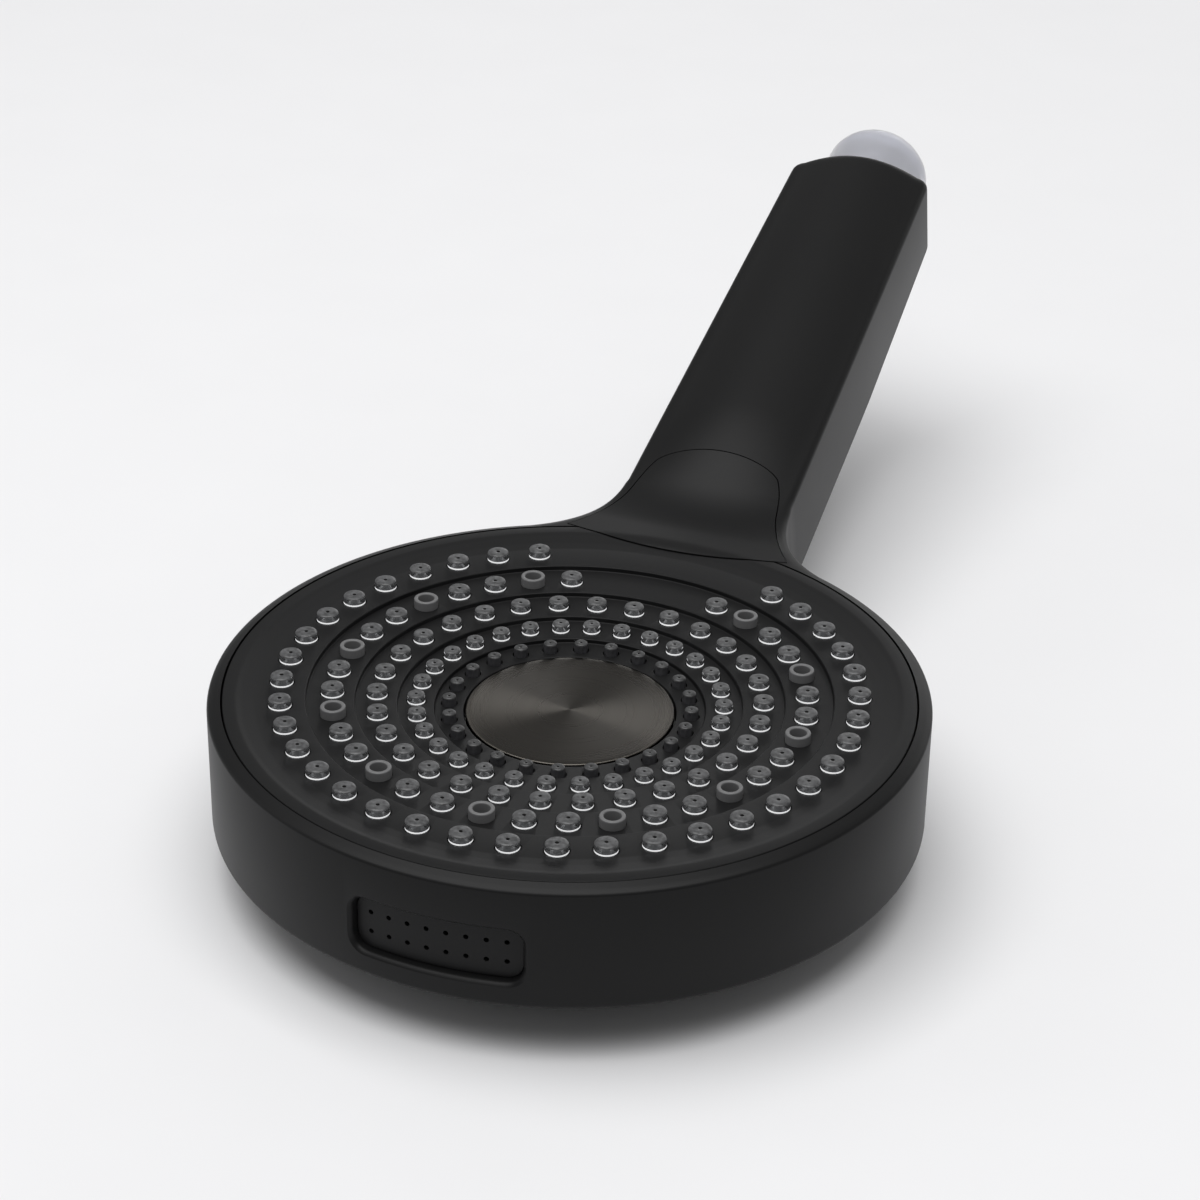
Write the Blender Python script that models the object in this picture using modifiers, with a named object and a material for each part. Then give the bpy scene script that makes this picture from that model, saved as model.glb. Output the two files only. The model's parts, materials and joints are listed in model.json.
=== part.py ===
"""A handheld shower head, built as separate parts at rest, in metres with +Z up.

The origin is the centre of the flat back of the head. The spray face looks along +Z and the handle
leaves along +Y, rising by HANDLE_TILT. Along the handle, places are given as (x, s, n): x across,
s the distance from the head's axis measured along the front edge, and n the height above that edge.
"""

import math

import bmesh
import bpy
from mathutils import Matrix, Vector

MM = 0.001

# Fits
GAP = 0.3 * MM  # between neighbouring pieces
SEAL_GAP = 0.15 * MM  # between a seal and what it seals

# Head
HEAD_RADIUS = 62.5 * MM
HEAD_HEIGHT = 33.0 * MM
BACK_RADIUS = HEAD_RADIUS - 18.5 * MM
WALL = 2.5 * MM
LIP_DROP = 1.2 * MM
BACK_CORNER = 12.0 * MM  # height of the wall's lower corner
CORNER_ROUND = 1.5 * MM
SPIGOT_DEPTH = 6.5 * MM  # how far the faceplate's skirt reaches into the shell
ROUND_STEPS = 32
INNER_STEPS = 16
CHANNEL_STEPS = 20

# Handle
HANDLE_TILT = math.radians(15.7)
HANDLE_END = 184.2 * MM
BEND_START = HEAD_RADIUS
BEND_RADIUS = 52.0 * MM
END_HALF_WIDTH = 15.1 * MM
WIDTH_TAPER = 0.0143  # half width gained per length, from the end to the neck
END_SIDE_DEPTH = 18.1 * MM
DEPTH_TAPER = 0.065
NECK_SIDE_DEPTH = 21.5 * MM
CROWN = 3.7 * MM
CROWN_START = HEAD_RADIUS - 0.5 * MM
CROWN_FULL = HEAD_RADIUS + 37.5 * MM
NECK_FILLET = 25.0 * MM
EDGE_ROUND = 1.5 * MM
END_WALL = 6.0 * MM
END_EASE = 0.03  # share by which the end face's outline is drawn in
NECK_FRONT_WALL = 4.4 * MM  # under the trim's pocket

# Spray face: each terrace as (outer radius, height of its top)
BORDER_INNER = HEAD_RADIUS - 5.8 * MM
TERRACES = (
    (BORDER_INNER, 32.2 * MM),
    (45.6 * MM, 31.2 * MM),
    (37.2 * MM, 30.2 * MM),
    (29.9 * MM, 29.2 * MM),
    (23.5 * MM, 28.3 * MM),
)
PLATE = 2.4 * MM
MAT = 1.4 * MM
NOZZLE_RISE = 1.6 * MM
NOZZLE_SIDES = 5
CHANNEL_FLOOR = 17.5 * MM
# Each ring of outlets: circle radius, number round the full circle, outlet radius, channel half width
RINGS = (
    (50.0 * MM, 40, 2.0 * MM, 1.8 * MM),
    (41.1 * MM, 36, 2.0 * MM, 3.0 * MM),
    (33.5 * MM, 30, 1.8 * MM, 1.6 * MM),
    (26.7 * MM, 30, 1.55 * MM, 1.5 * MM),
    (21.1 * MM, 24, 1.25 * MM, 1.1 * MM),
)
NECK_OUTLETS_LEFT_OUT = (2, 1, -1, -1, -1)  # each side of the neck, where the water inlet passes
MIST_EVERY = 3  # every third place of the second ring is a mist tube
MIST_RADIUS = 2.2 * MM
MIST_BORE = 1.3 * MM
MIST_RISE = 1.65 * MM
MIST_PLATE = 1.8 * MM

# Neck trim
TRIM = 1.6 * MM
TRIM_ARC_RADIUS = 94.0 * MM
TRIM_ARC_CENTRE = HEAD_RADIUS + 86.2 * MM
TRIM_CORNER = (21.7 * MM, HEAD_RADIUS - 5.2 * MM)
TRIM_WAIST = (14.7 * MM, HEAD_RADIUS + 10.5 * MM)
TRIM_SHOULDER = (12.2 * MM, HEAD_RADIUS + 19.0 * MM)
TRIM_TOP = HEAD_RADIUS + 21.9 * MM

SLAB_REACH = 1.04  # width of the trim's slab as a share of the neck's flat front

# Side jets
JET_WIDTH = 30.0 * MM
JET_HEIGHT = 10.0 * MM
JET_MIDDLE = 19.6 * MM
JET_CORNER = 2.8 * MM
JET_RECESS = 1.8 * MM
JET_FLANGE = 2.5 * MM
JET_COLUMNS = 8
JET_ROW_SPACING = 3.67 * MM
JET_PITCH = math.radians(3.17)
JET_HOLE = 0.45 * MM

# Spray engine
CHAMBER_RADIUS = HEAD_RADIUS - 6.2 * MM
CHAMBER_BASE = 2.5 * MM
DIVIDER = 3.0 * MM
DIVIDER_RADIUS = 51.2 * MM
BACK_CUP_RADIUS = 43.0 * MM
CUP_WALL = 2.3 * MM
BACK_FLANGE_RADIUS = 49.0 * MM
BACK_FLOOR = 2.0 * MM
BACK_FLOOR_TOP = 6.3 * MM
SCREW_CIRCLE = 46.0 * MM
ENGINE_SCREW_CIRCLE = HEAD_RADIUS - 8.4 * MM
SCREW_SHANK = 1.1 * MM
SCREW_HEAD = 1.9 * MM
SCREW_HEAD_HEIGHT = 1.6 * MM
SCREW_COUNT = 4
BOSS_RADIUS = 2.5 * MM

# Water inlet
TUBE_RADIUS = 4.2 * MM
TUBE_BORE = 3.2 * MM
TUBE_HEIGHT_IN_HEAD = 21.0 * MM
SOCKET_RADIUS = 5.1 * MM
INLET_BLOCK_HALF_WIDTH = 8.0 * MM
INLET_BLOCK_FROM = 37.6 * MM
INLET_BLOCK_TO = HEAD_RADIUS - 5.0 * MM
INLET_DROP_HALF_WIDTH = 5.0 * MM

# Push button and selector
BUTTON_RADIUS = 18.14 * MM
BUTTON_CLEARANCE = 0.31 * MM
BUTTON_TOP = 28.4 * MM
BUTTON_DISC = 1.5 * MM
CARRIER_RADIUS = 17.7 * MM
CARRIER_PLATE = 2.0 * MM
CARRIER_SKIRT = 4.0 * MM
STEM_RADIUS = 3.0 * MM
SLEEVE_BORE = 4.1 * MM
SLEEVE_RADIUS = 6.5 * MM
SLEEVE_HEIGHT = 3.5 * MM
STEM_END = 7.2 * MM
STEM_SNAP = 3.9 * MM
SNAP_HEIGHT = 1.1 * MM
ROTOR_RADIUS = 15.0 * MM
ROTOR_BORE = 3.3 * MM
ROTOR_BOTTOM = 8.6 * MM
ROTOR_TOP = 10.4 * MM
PORT_CIRCLE = 10.0 * MM
PORT_RADIUS = 2.4 * MM
PORT_START = math.radians(150)
LANES = ((0, 1), (2, 3), (4,))  # the rings that each port feeds
FEED_HOLE = 0.85 * MM
FEED_INSET = 0.2 * MM  # the feed holes stand this far inside their ring's circle
SPRING_RADIUS = 9.5 * MM
SPRING_WIRE = 0.6 * MM
SPRING_TURNS = 2.5

# Hose inlet, with places given along the handle's axis from its end face
AXIS_DEPTH = 9.5 * MM  # below the front edge
THREAD_RADIUS = 10.4775 * MM  # G 1/2, 20.955 mm over its crests
THREAD_LENGTH = 10.8 * MM
THREAD_CHAMFER = 0.9 * MM
COLLAR_RADIUS = 10.0 * MM  # where the fitting passes through the end wall
FITTING_BODY_RADIUS = 8.5 * MM
VALVE_BORE = 7.4 * MM
VALVE_BORE_DEPTH = 16.0 * MM
FITTING_THROAT = 3.4 * MM
FITTING_THROAT_LENGTH = 3.0 * MM
FITTING_SOCKET_LENGTH = 11.0 * MM
FITTING_SOCKET_WALL = 1.4 * MM
VALVE_SLEEVE_WALL = 1.4 * MM
VALVE_SLEEVE_TOP = 2.5 * MM
VALVE_SEAT_BORE = 4.0 * MM
VALVE_SEAT = 1.5 * MM
VALVE_SPIDER = 1.8 * MM
POPPET_RADIUS = 4.8 * MM
POPPET_HEAD = 2.0 * MM
POPPET_STEM = 1.0 * MM
VALVE_SPRING_RADIUS = 3.0 * MM
VALVE_SPRING_WIRE = 0.35 * MM
VALVE_SPRING_TURNS = 4
REGULATOR = 2.5 * MM
REGULATOR_HOLE = 1.2 * MM
REGULATOR_ROWS = ((4.6 * MM, 6),)
STRAINER = 1.5 * MM
STRAINER_ROWS = ((4.4 * MM, 8),)
STRAINER_HOLE = 1.1 * MM

# Protective cap
CAP_RADIUS = 11.3 * MM
CAP_WALL = 0.68 * MM
CAP_SKIRT = 10.2 * MM
CAP_DOME = 8.8 * MM  # height of the dome over the skirt

# Heights worked out from the stack behind the spray face
MAT_TOPS = [top - PLATE - GAP for _, top in TERRACES]
CHAMBER_TOPS = [top - MAT - GAP for top in MAT_TOPS]
CHAMBER_BOTTOM = CHANNEL_FLOOR - CHAMBER_BASE
DIVIDER_TOP = CHAMBER_BOTTOM - GAP
DIVIDER_BOTTOM = DIVIDER_TOP - DIVIDER
CHAMBER_SEAL = 1.0 * MM
BACK_TOP = DIVIDER_BOTTOM - CHAMBER_SEAL - 2 * SEAL_GAP
BACK_FLANGE = 2.4 * MM
OPENING_RADIUS = HEAD_RADIUS - WALL + SEAL_GAP
FACEPLATE_RADIUS = OPENING_RADIUS - GAP
NECK_HALF_WIDTH = END_HALF_WIDTH + WIDTH_TAPER * (HANDLE_END - BEND_START)
FILLET_X = NECK_HALF_WIDTH + NECK_FILLET
FILLET_Y = math.sqrt((HEAD_RADIUS + NECK_FILLET) ** 2 - FILLET_X**2)
FILLET_START = FILLET_Y * HEAD_RADIUS / (HEAD_RADIUS + NECK_FILLET)

COLOURS = {
    "satin_graphite": ((0.045, 0.045, 0.048), 0.34, 0.0),
    "black_plate": ((0.022, 0.022, 0.024), 0.42, 0.0),
    "trim_graphite": ((0.04, 0.04, 0.043), 0.3, 0.0),
    "clear_silicone": ((0.62, 0.64, 0.65), 0.25, 0.0),
    "smoky_silicone": ((0.12, 0.12, 0.12), 0.35, 0.0),
    "grey_plastic": ((0.3, 0.3, 0.31), 0.4, 0.0),
    "white_plastic": ((0.75, 0.75, 0.73), 0.45, 0.0),
    "brushed_disc": ((0.2, 0.19, 0.18), 0.25, 1.0),
    "brass": ((0.72, 0.52, 0.26), 0.3, 1.0),
    "steel": ((0.6, 0.6, 0.6), 0.3, 1.0),
    "black_rubber": ((0.02, 0.02, 0.02), 0.75, 0.0),
    "milky_cap": ((0.7, 0.73, 0.76), 0.35, 0.0),
}


def clear_scene():
    for thing in list(bpy.data.objects):
        bpy.data.objects.remove(thing, do_unlink=True)


def new_collection(name):
    made = bpy.data.collections.new(name)
    bpy.context.scene.collection.children.link(made)
    return made


def new_material(name):
    colour, roughness, metallic = COLOURS[name]
    made = bpy.data.materials.new(name)
    made.use_nodes = True
    made.diffuse_color = (*colour, 1)
    shader = made.node_tree.nodes["Principled BSDF"]
    shader.inputs["Base Color"].default_value = (*colour, 1)
    shader.inputs["Roughness"].default_value = roughness
    shader.inputs["Metallic"].default_value = metallic
    return made


clear_scene()
PARTS = new_collection("handheld_shower_head")
CUTTERS = new_collection("cutters")
MATERIALS = {name: new_material(name) for name in COLOURS}


def finish(thing, colour=None, place=None):
    """Files the object as a part of this colour, or as a cutter, and puts it in its place."""
    (PARTS if colour else CUTTERS).objects.link(thing)
    if place is not None:
        thing.matrix_world = place
    if colour:
        thing.data.materials.append(MATERIALS[colour])
    else:
        thing.hide_render = True
        thing.display_type = "WIRE"
    return thing


def smooth(thing):
    thing.data.shade_smooth()
    thing.data.set_sharp_from_angle(angle=math.radians(35))


def from_bmesh(name, shape, colour=None, place=None):
    mesh = bpy.data.meshes.new(name)
    shape.to_mesh(mesh)
    shape.free()
    thing = bpy.data.objects.new(name, mesh)
    smooth(thing)
    return finish(thing, colour, place)


def turned(name, profile, colour=None, steps=INNER_STEPS, place=None):
    """A turned solid. The profile of (radius, height) runs down its outer side. It is a closed loop,
    or, where it starts and ends on the axis, an open line."""
    solid = profile[0][0] == 0
    count = len(profile)
    edges = [(i, (i + 1) % count) for i in range(count - solid)]
    mesh = bpy.data.meshes.new(name)
    mesh.from_pydata([(r, 0, z) for r, z in profile], edges, [])
    thing = bpy.data.objects.new(name, mesh)
    screw = thing.modifiers.new("turn", "SCREW")
    screw.steps = screw.render_steps = steps
    screw.use_merge_vertices = True
    screw.merge_threshold = 0.00001
    screw.use_smooth_shade = True
    return finish(thing, colour, place)


def ring(name, inner, outer, bottom, top, colour=None, steps=INNER_STEPS, place=None):
    """A flat ring or a short tube."""
    profile = [(outer, top), (outer, bottom), (inner, bottom), (inner, top)]
    return turned(name, profile, colour, steps, place)


def add_rod(shape, x, y, bottom, top, radius, sides, top_radius=None, turn=0.0):
    """Adds a closed upright prism, or a cone, to a bmesh."""
    where = Matrix.Translation((x, y, (bottom + top) / 2)) @ Matrix.Rotation(turn, 4, "Z")
    bmesh.ops.create_cone(
        shape,
        cap_ends=True,
        segments=sides,
        radius1=radius,
        radius2=radius if top_radius is None else top_radius,
        depth=top - bottom,
        matrix=where,
    )


def rods(name, places, bottom, top, radius, sides, top_radius=None, colour=None, place=None):
    """Equal upright prisms or cones at (x, y) places, as one object."""
    shape = bmesh.new()
    for x, y in places:
        add_rod(shape, x, y, bottom, top, radius, sides, top_radius, math.atan2(y, x))
    return from_bmesh(name, shape, colour, place)


def box(name, low, high, colour=None, place=None):
    """A box between two corners."""
    low, high = Vector(low), Vector(high)
    shape = bmesh.new()
    where = Matrix.Translation((low + high) / 2) @ Matrix.Diagonal((*(high - low), 1))
    bmesh.ops.create_cube(shape, size=1, matrix=where)
    return from_bmesh(name, shape, colour, place)


def loft(name, sections, colour=None):
    """A closed solid through equal-length rings of points, capped at both ends."""
    shape = bmesh.new()
    rings = [[shape.verts.new(point) for point in section] for section in sections]
    for first, second in zip(rings, rings[1:]):
        for i in range(len(first)):
            j = (i + 1) % len(first)
            shape.faces.new((first[i], first[j], second[j], second[i]))
    shape.faces.new(rings[0])
    shape.faces.new(rings[-1])
    bmesh.ops.recalc_face_normals(shape, faces=shape.faces)
    return from_bmesh(name, shape, colour)


def meshed(curve_object, name, colour=None, place=None):
    """Turns a curve object into a welded mesh object and removes the curve."""
    bpy.context.scene.collection.objects.link(curve_object)
    graph = bpy.context.evaluated_depsgraph_get()
    mesh = bpy.data.meshes.new_from_object(curve_object.evaluated_get(graph))
    bpy.data.objects.remove(curve_object, do_unlink=True)
    shape = bmesh.new()
    shape.from_mesh(mesh)
    bmesh.ops.remove_doubles(shape, verts=shape.verts, dist=0.000001)
    bmesh.ops.recalc_face_normals(shape, faces=shape.faces)
    bpy.data.meshes.remove(mesh)
    return from_bmesh(name, shape, colour, place)


def wire(name, points, radius, colour=None, place=None, resolution=1):
    """A round wire or rod along a line of points."""
    curve = bpy.data.curves.new(name, "CURVE")
    curve.dimensions = "3D"
    curve.bevel_depth = radius
    curve.bevel_resolution = resolution
    curve.use_fill_caps = True
    spline = curve.splines.new("POLY")
    spline.points.add(len(points) - 1)
    for point, where in zip(spline.points, points):
        point.co = (*where, 1)
    return meshed(bpy.data.objects.new(name, curve), name, colour, place)


def coil(name, radius, wire_radius, bottom, top, turns, colour, place=None, points_per_turn=10):
    """A compression spring standing on its local Z axis."""
    count = round(turns * points_per_turn)
    points = []
    for i in range(count + 1):
        angle = 2 * math.pi * i / points_per_turn
        height = bottom + wire_radius + (top - bottom - 2 * wire_radius) * i / count
        points.append((radius * math.cos(angle), radius * math.sin(angle), height))
    return wire(name, points, wire_radius, colour, place)


def o_ring(name, radius, section, colour, place=None, height=0.0):
    """A round seal about the local Z axis."""
    profile = []
    for i in range(6):
        angle = math.radians(90 - 60 * i)
        profile.append((radius + section * math.cos(angle), height + section * math.sin(angle)))
    return turned(name, profile, colour, 12, place)


def outline_plate(name, points, half_thickness, place=None):
    """A flat cutter with a closed outline of Bezier points, each (x, y, handle in, handle out)."""
    curve = bpy.data.curves.new(name, "CURVE")
    curve.dimensions = "2D"
    curve.fill_mode = "BOTH"
    curve.extrude = half_thickness
    curve.resolution_u = 4
    spline = curve.splines.new("BEZIER")
    spline.bezier_points.add(len(points) - 1)
    spline.use_cyclic_u = True
    for point, (x, y, back, ahead) in zip(spline.bezier_points, points):
        point.handle_left_type = point.handle_right_type = "FREE"
        point.co = (x, y, 0)
        point.handle_left = (x + back[0], y + back[1], 0)
        point.handle_right = (x + ahead[0], y + ahead[1], 0)
    return meshed(bpy.data.objects.new(name, curve), name, None, place)


def combine(thing, *others, operation="DIFFERENCE"):
    """Adds one Boolean per other object."""
    for other in others:
        boolean = thing.modifiers.new(other.name, "BOOLEAN")
        boolean.operation = operation
        boolean.object = other
        boolean.solver = "EXACT"
    return thing


def polar(radius, angle):
    return radius * math.cos(angle), radius * math.sin(angle)


def around(radius, count, start=0.0):
    return [polar(radius, start + 2 * math.pi * i / count) for i in range(count)]


# The handle's shape


def along_handle(x, s, n):
    """The point at (x, s, n) after the handle is bent up."""
    bend_length = BEND_RADIUS * HANDLE_TILT
    turn = min(max((s - BEND_START) / BEND_RADIUS, 0.0), HANDLE_TILT)
    flat = min(s, BEND_START)
    past = max(s - BEND_START - bend_length, 0.0)
    y = flat + (BEND_RADIUS - n) * math.sin(turn) + past * math.cos(turn)
    z = HEAD_HEIGHT + BEND_RADIUS - (BEND_RADIUS - n) * math.cos(turn) + past * math.sin(turn)
    return Vector((x, y, z))


def half_width(s):
    """The handle's half width, flaring into the head through the neck fillet."""
    straight = END_HALF_WIDTH + WIDTH_TAPER * (HANDLE_END - max(s, BEND_START))
    if s >= FILLET_Y:
        return straight
    inside = max(s, FILLET_START)
    return max(straight, FILLET_X - math.sqrt(NECK_FILLET**2 - (FILLET_Y - inside) ** 2))


def side_depth(s):
    return min(END_SIDE_DEPTH + DEPTH_TAPER * (HANDLE_END - s), NECK_SIDE_DEPTH)


def crown(s):
    """How far the front bulges above its edges: nothing at the head, growing along the neck."""
    t = min(max((s - CROWN_START) / (CROWN_FULL - CROWN_START), 0.0), 1.0)
    return CROWN * t * t * (3 - 2 * t)


def front_wall(s):
    """The front wall's thickness, which eases from the neck's to the handle's past the trim."""
    t = min(max((s - TRIM_TOP - 2 * GAP) / (TRIM_TOP - TRIM_WAIST[1]), 0.0), 1.0)
    return NECK_FRONT_WALL + (WALL - NECK_FRONT_WALL) * t


def handle_section(s, side_inset=0.0, front_inset=0.0, back_inset=0.0, front_steps=6):
    """The closed outline of the handle at s, as bent points."""
    wide = half_width(s) - side_inset
    low = -side_depth(s) + back_inset
    flat = wide - EDGE_ROUND
    points = [(wide, -front_inset - EDGE_ROUND), (wide - 0.3 * EDGE_ROUND, -front_inset - 0.3 * EDGE_ROUND)]
    for i in range(front_steps + 1):
        across = 1 - 2 * i / front_steps
        points.append((flat * across, -front_inset + crown(s) * (1 - across**2)))
    points += [(-x, n) for x, n in (points[1], points[0])]
    points += [(-wide, low + EDGE_ROUND), (0.3 * EDGE_ROUND - wide, low + 0.3 * EDGE_ROUND)]
    for i in range(front_steps + 1):
        across = 2 * i / front_steps - 1
        points.append((flat * across, low - CROWN * (1 - across**2)))
    points += [(wide - 0.3 * EDGE_ROUND, low + 0.3 * EDGE_ROUND), (wide, low + EDGE_ROUND)]
    return [along_handle(x, s, n) for x, n in points]


def stations(start, end):
    """Places along the handle, closer together in the neck, the bend and where the front swells."""
    bent = max(FILLET_Y, BEND_START + BEND_RADIUS * HANDLE_TILT)
    swollen = max(CROWN_FULL, bent + MM)
    neck = [start + (bent - start) * i / 8 for i in range(8)]
    swell = [bent + (swollen - bent) * i / 3 for i in range(3)]
    return neck + swell + [swollen + (end - swollen) * i / 3 for i in range(4)]


def handle_axis():
    """The frame at the middle of the handle's end face, with local Z pointing out along the handle."""
    middle = along_handle(0, HANDLE_END, -AXIS_DEPTH)
    return Matrix.Translation(middle) @ Matrix.Rotation(HANDLE_TILT - math.pi / 2, 4, "X")


AXIS = handle_axis()


def trim_outline(name, grow, half_thickness):
    """An upright cutter with the neck trim's outline, grown by an amount all round."""
    corner_x, corner_y = TRIM_CORNER[0] + grow, TRIM_CORNER[1] - grow
    waist_x, waist_y = TRIM_WAIST[0] + grow, TRIM_WAIST[1]
    shoulder_x, shoulder_y = TRIM_SHOULDER[0] + grow * 0.7, TRIM_SHOULDER[1] + grow * 0.7
    bottom = TRIM_ARC_CENTRE - TRIM_ARC_RADIUS - grow
    top = TRIM_TOP + grow
    right = [
        (corner_x, corner_y, (-7.0 * MM, -1.5 * MM), (-2.7 * MM, 3.7 * MM)),
        (waist_x, waist_y, (0.7 * MM, -4.5 * MM), (-0.5 * MM, 3.0 * MM)),
        (shoulder_x, shoulder_y, (1.4 * MM, -2.4 * MM), (-1.6 * MM, 1.8 * MM)),
    ]
    left = [(-x, y, (-b[0], b[1]), (-a[0], a[1])) for x, y, a, b in reversed(right)]
    side = 7.0 * MM
    points = [(0, bottom, (-side, 0), (side, 0)), *right]
    points += [(0, top, (6.0 * MM, 0), (-6.0 * MM, 0)), *left]
    middle = Matrix.Translation((0, 0, HEAD_HEIGHT))
    return outline_plate(name, points, half_thickness, middle)


def front_slab(name, above, below, colour=None):
    """A slab that follows the neck's front surface, from above it to below it."""
    first, last = TRIM_ARC_CENTRE - TRIM_ARC_RADIUS - 2 * MM, TRIM_TOP + 3 * MM
    across = [SLAB_REACH * (1 - i / 4) for i in range(9)]
    rings = []
    for i in range(10):
        s = first + (last - first) * i / 9
        flat = half_width(s) - EDGE_ROUND
        face = [(flat * u, crown(s) * (1 - u * u)) for u in across]
        outline = [(x, n + above) for x, n in face] + [(x, n - below) for x, n in reversed(face)]
        rings.append([along_handle(x, s, n) for x, n in outline])
    return loft(name, rings, colour)


# Outlets


def outlet_places(index):
    """The (x, y) of each place of a ring, left out at the neck, and whether it is a mist tube."""
    radius, count, _, _ = RINGS[index]
    left_out = NECK_OUTLETS_LEFT_OUT[index]
    places = []
    for k in range(count):
        if min(k, count - k) <= left_out:
            continue
        where = polar(radius, math.pi / 2 + 2 * math.pi * k / count)
        places.append((where, index == 1 and k % MIST_EVERY == 0))
    return places


def jet_angles():
    return [-math.pi / 2 + JET_PITCH * (i - (JET_COLUMNS - 1) / 2) for i in range(JET_COLUMNS)]


def jet_window(name, grow):
    """A cutter through the rim, with the side jets' rounded outline."""
    wide, high = JET_WIDTH / 2 + grow, JET_HEIGHT / 2 + grow
    shape = bmesh.new()
    bmesh.ops.create_cube(shape, size=1, matrix=Matrix.Diagonal((2 * wide, 16 * MM, 2 * high, 1)))
    upright = [e for e in shape.edges if abs((e.verts[0].co - e.verts[1].co).y) > MM]
    bmesh.ops.bevel(
        shape, geom=upright, offset=JET_CORNER + grow, segments=3, profile=0.5, affect="EDGES"
    )
    where = Matrix.Translation((0, 2 * MM - HEAD_RADIUS, JET_MIDDLE))
    return from_bmesh(name, shape, None, where)


# Parts of the body


def handset_shell():
    """The one-piece outer moulding: head, neck and handle, hollow, with its screw bosses."""
    top_outer = HEAD_HEIGHT - LIP_DROP
    profile = [
        (0, HEAD_HEIGHT),
        (OPENING_RADIUS, HEAD_HEIGHT),
        (HEAD_RADIUS - 0.4 * MM, top_outer + 0.5 * MM),
        (HEAD_RADIUS, top_outer),
        (HEAD_RADIUS, BACK_CORNER),
        (HEAD_RADIUS - 0.3 * CORNER_ROUND, BACK_CORNER - CORNER_ROUND),
        (HEAD_RADIUS - CORNER_ROUND, BACK_CORNER - 1.6 * CORNER_ROUND),
        (BACK_RADIUS, 0),
        (0, 0),
    ]
    shell = turned("handset_shell", profile, "satin_graphite", ROUND_STEPS)

    places = stations(FILLET_START - 4 * MM, HANDLE_END)
    sections = [handle_section(s) for s in places[:-1]]
    bevel = EDGE_ROUND / 2
    sections.append(handle_section(HANDLE_END - bevel))
    sections.append([p.lerp(AXIS.translation, END_EASE) for p in handle_section(HANDLE_END)])
    handle = loft("handle_outside", sections)
    combine(shell, handle, operation="UNION")

    floor = WALL
    slope = (BACK_CORNER - 1.6 * CORNER_ROUND) / (HEAD_RADIUS - CORNER_ROUND - BACK_RADIUS)
    sideways = WALL * math.hypot(1, 1 / slope)
    inner_foot = BACK_RADIUS + floor / slope - sideways
    inner_corner = (OPENING_RADIUS - inner_foot - 1.5 * MM) * slope + floor
    cavity = turned(
        "head_cavity",
        [
            (0, HEAD_HEIGHT + 3 * MM),
            (OPENING_RADIUS, HEAD_HEIGHT + 3 * MM),
            (OPENING_RADIUS, inner_corner + 1.5 * MM),
            (OPENING_RADIUS - 1.5 * MM, inner_corner),
            (inner_foot, floor),
            (0, floor),
        ],
        None,
        ROUND_STEPS,
    )
    inside = [
        handle_section(s, WALL, front_wall(s), WALL)
        for s in stations(FILLET_START + 1 * MM, HANDLE_END - END_WALL)
    ]
    duct = loft("handle_duct", inside)
    end_bore = COLLAR_RADIUS + GAP
    inlet = turned(
        "inlet_bore",
        [(0, MM), (end_bore, MM), (end_bore, -END_WALL - MM), (0, -END_WALL - MM)],
        None,
        INNER_STEPS,
        AXIS,
    )
    trim_pocket = trim_outline("trim_pocket", GAP, 8 * MM)
    pocket_slab = front_slab("trim_pocket_depth", 2 * MM, TRIM + GAP)
    combine(trim_pocket, pocket_slab, operation="INTERSECT")
    window = jet_window("side_jet_window", 0.0)
    combine(shell, cavity, duct, inlet, trim_pocket, window)

    bosses = rods(
        "screw_bosses",
        around(ENGINE_SCREW_CIRCLE, SCREW_COUNT, math.pi / 4),
        BACK_CORNER - 4.4 * MM,
        CHAMBER_BOTTOM - GAP,
        BOSS_RADIUS,
        8,
    )
    pilots = rods(
        "screw_pilots",
        around(ENGINE_SCREW_CIRCLE, SCREW_COUNT, math.pi / 4),
        BACK_CORNER - 2.0 * MM,
        HEAD_HEIGHT,
        SCREW_SHANK + GAP,
        6,
    )
    combine(shell, bosses, operation="UNION")
    combine(shell, pilots)


def faceplate():
    """The stepped, dished spray plate with its skirt, drilled for every outlet."""
    centre = BUTTON_RADIUS + BUTTON_CLEARANCE
    tops = [(FACEPLATE_RADIUS, HEAD_HEIGHT)]
    bottoms = []
    skirt_inner = CHAMBER_RADIUS + 3 * GAP
    tops += [(FACEPLATE_RADIUS, HEAD_HEIGHT - SPIGOT_DEPTH), (skirt_inner, HEAD_HEIGHT - SPIGOT_DEPTH)]
    edges = [radius for radius, _ in TERRACES[1:]] + [centre]
    outer = skirt_inner
    for (_, top), inner in zip(TERRACES, edges):
        bottoms += [(outer, top - PLATE), (inner, top - PLATE)]
        outer = inner
    steps = []
    for (radius, top), inner in zip(TERRACES, edges):
        steps += [(radius, top), (inner, top)]
    profile = tops + bottoms + steps[::-1] + [(BORDER_INNER, HEAD_HEIGHT)]
    plate = turned("faceplate", profile, "black_plate", ROUND_STEPS)
    for index, (_, _, radius, _) in enumerate(RINGS):
        top = TERRACES[index][1]
        plain = [where for where, mist in outlet_places(index) if not mist]
        name = f"outlet_holes_{index + 1}"
        combine(plate, rods(name, plain, top - 2 * PLATE, top + PLATE, radius + GAP, NOZZLE_SIDES))
    tubes = [where for where, mist in outlet_places(1) if mist]
    top = TERRACES[1][1]
    combine(plate, rods("mist_holes", tubes, top - 2 * PLATE, top + PLATE, MIST_RADIUS + GAP, 6))
    neck = bmesh.new()
    low, high = HEAD_HEIGHT - 2 * SPIGOT_DEPTH, HEAD_HEIGHT + SPIGOT_DEPTH
    add_rod(neck, 0, TRIM_ARC_CENTRE, low, high, TRIM_ARC_RADIUS + GAP, 96)
    combine(plate, from_bmesh("neck_notch", neck))


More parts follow.
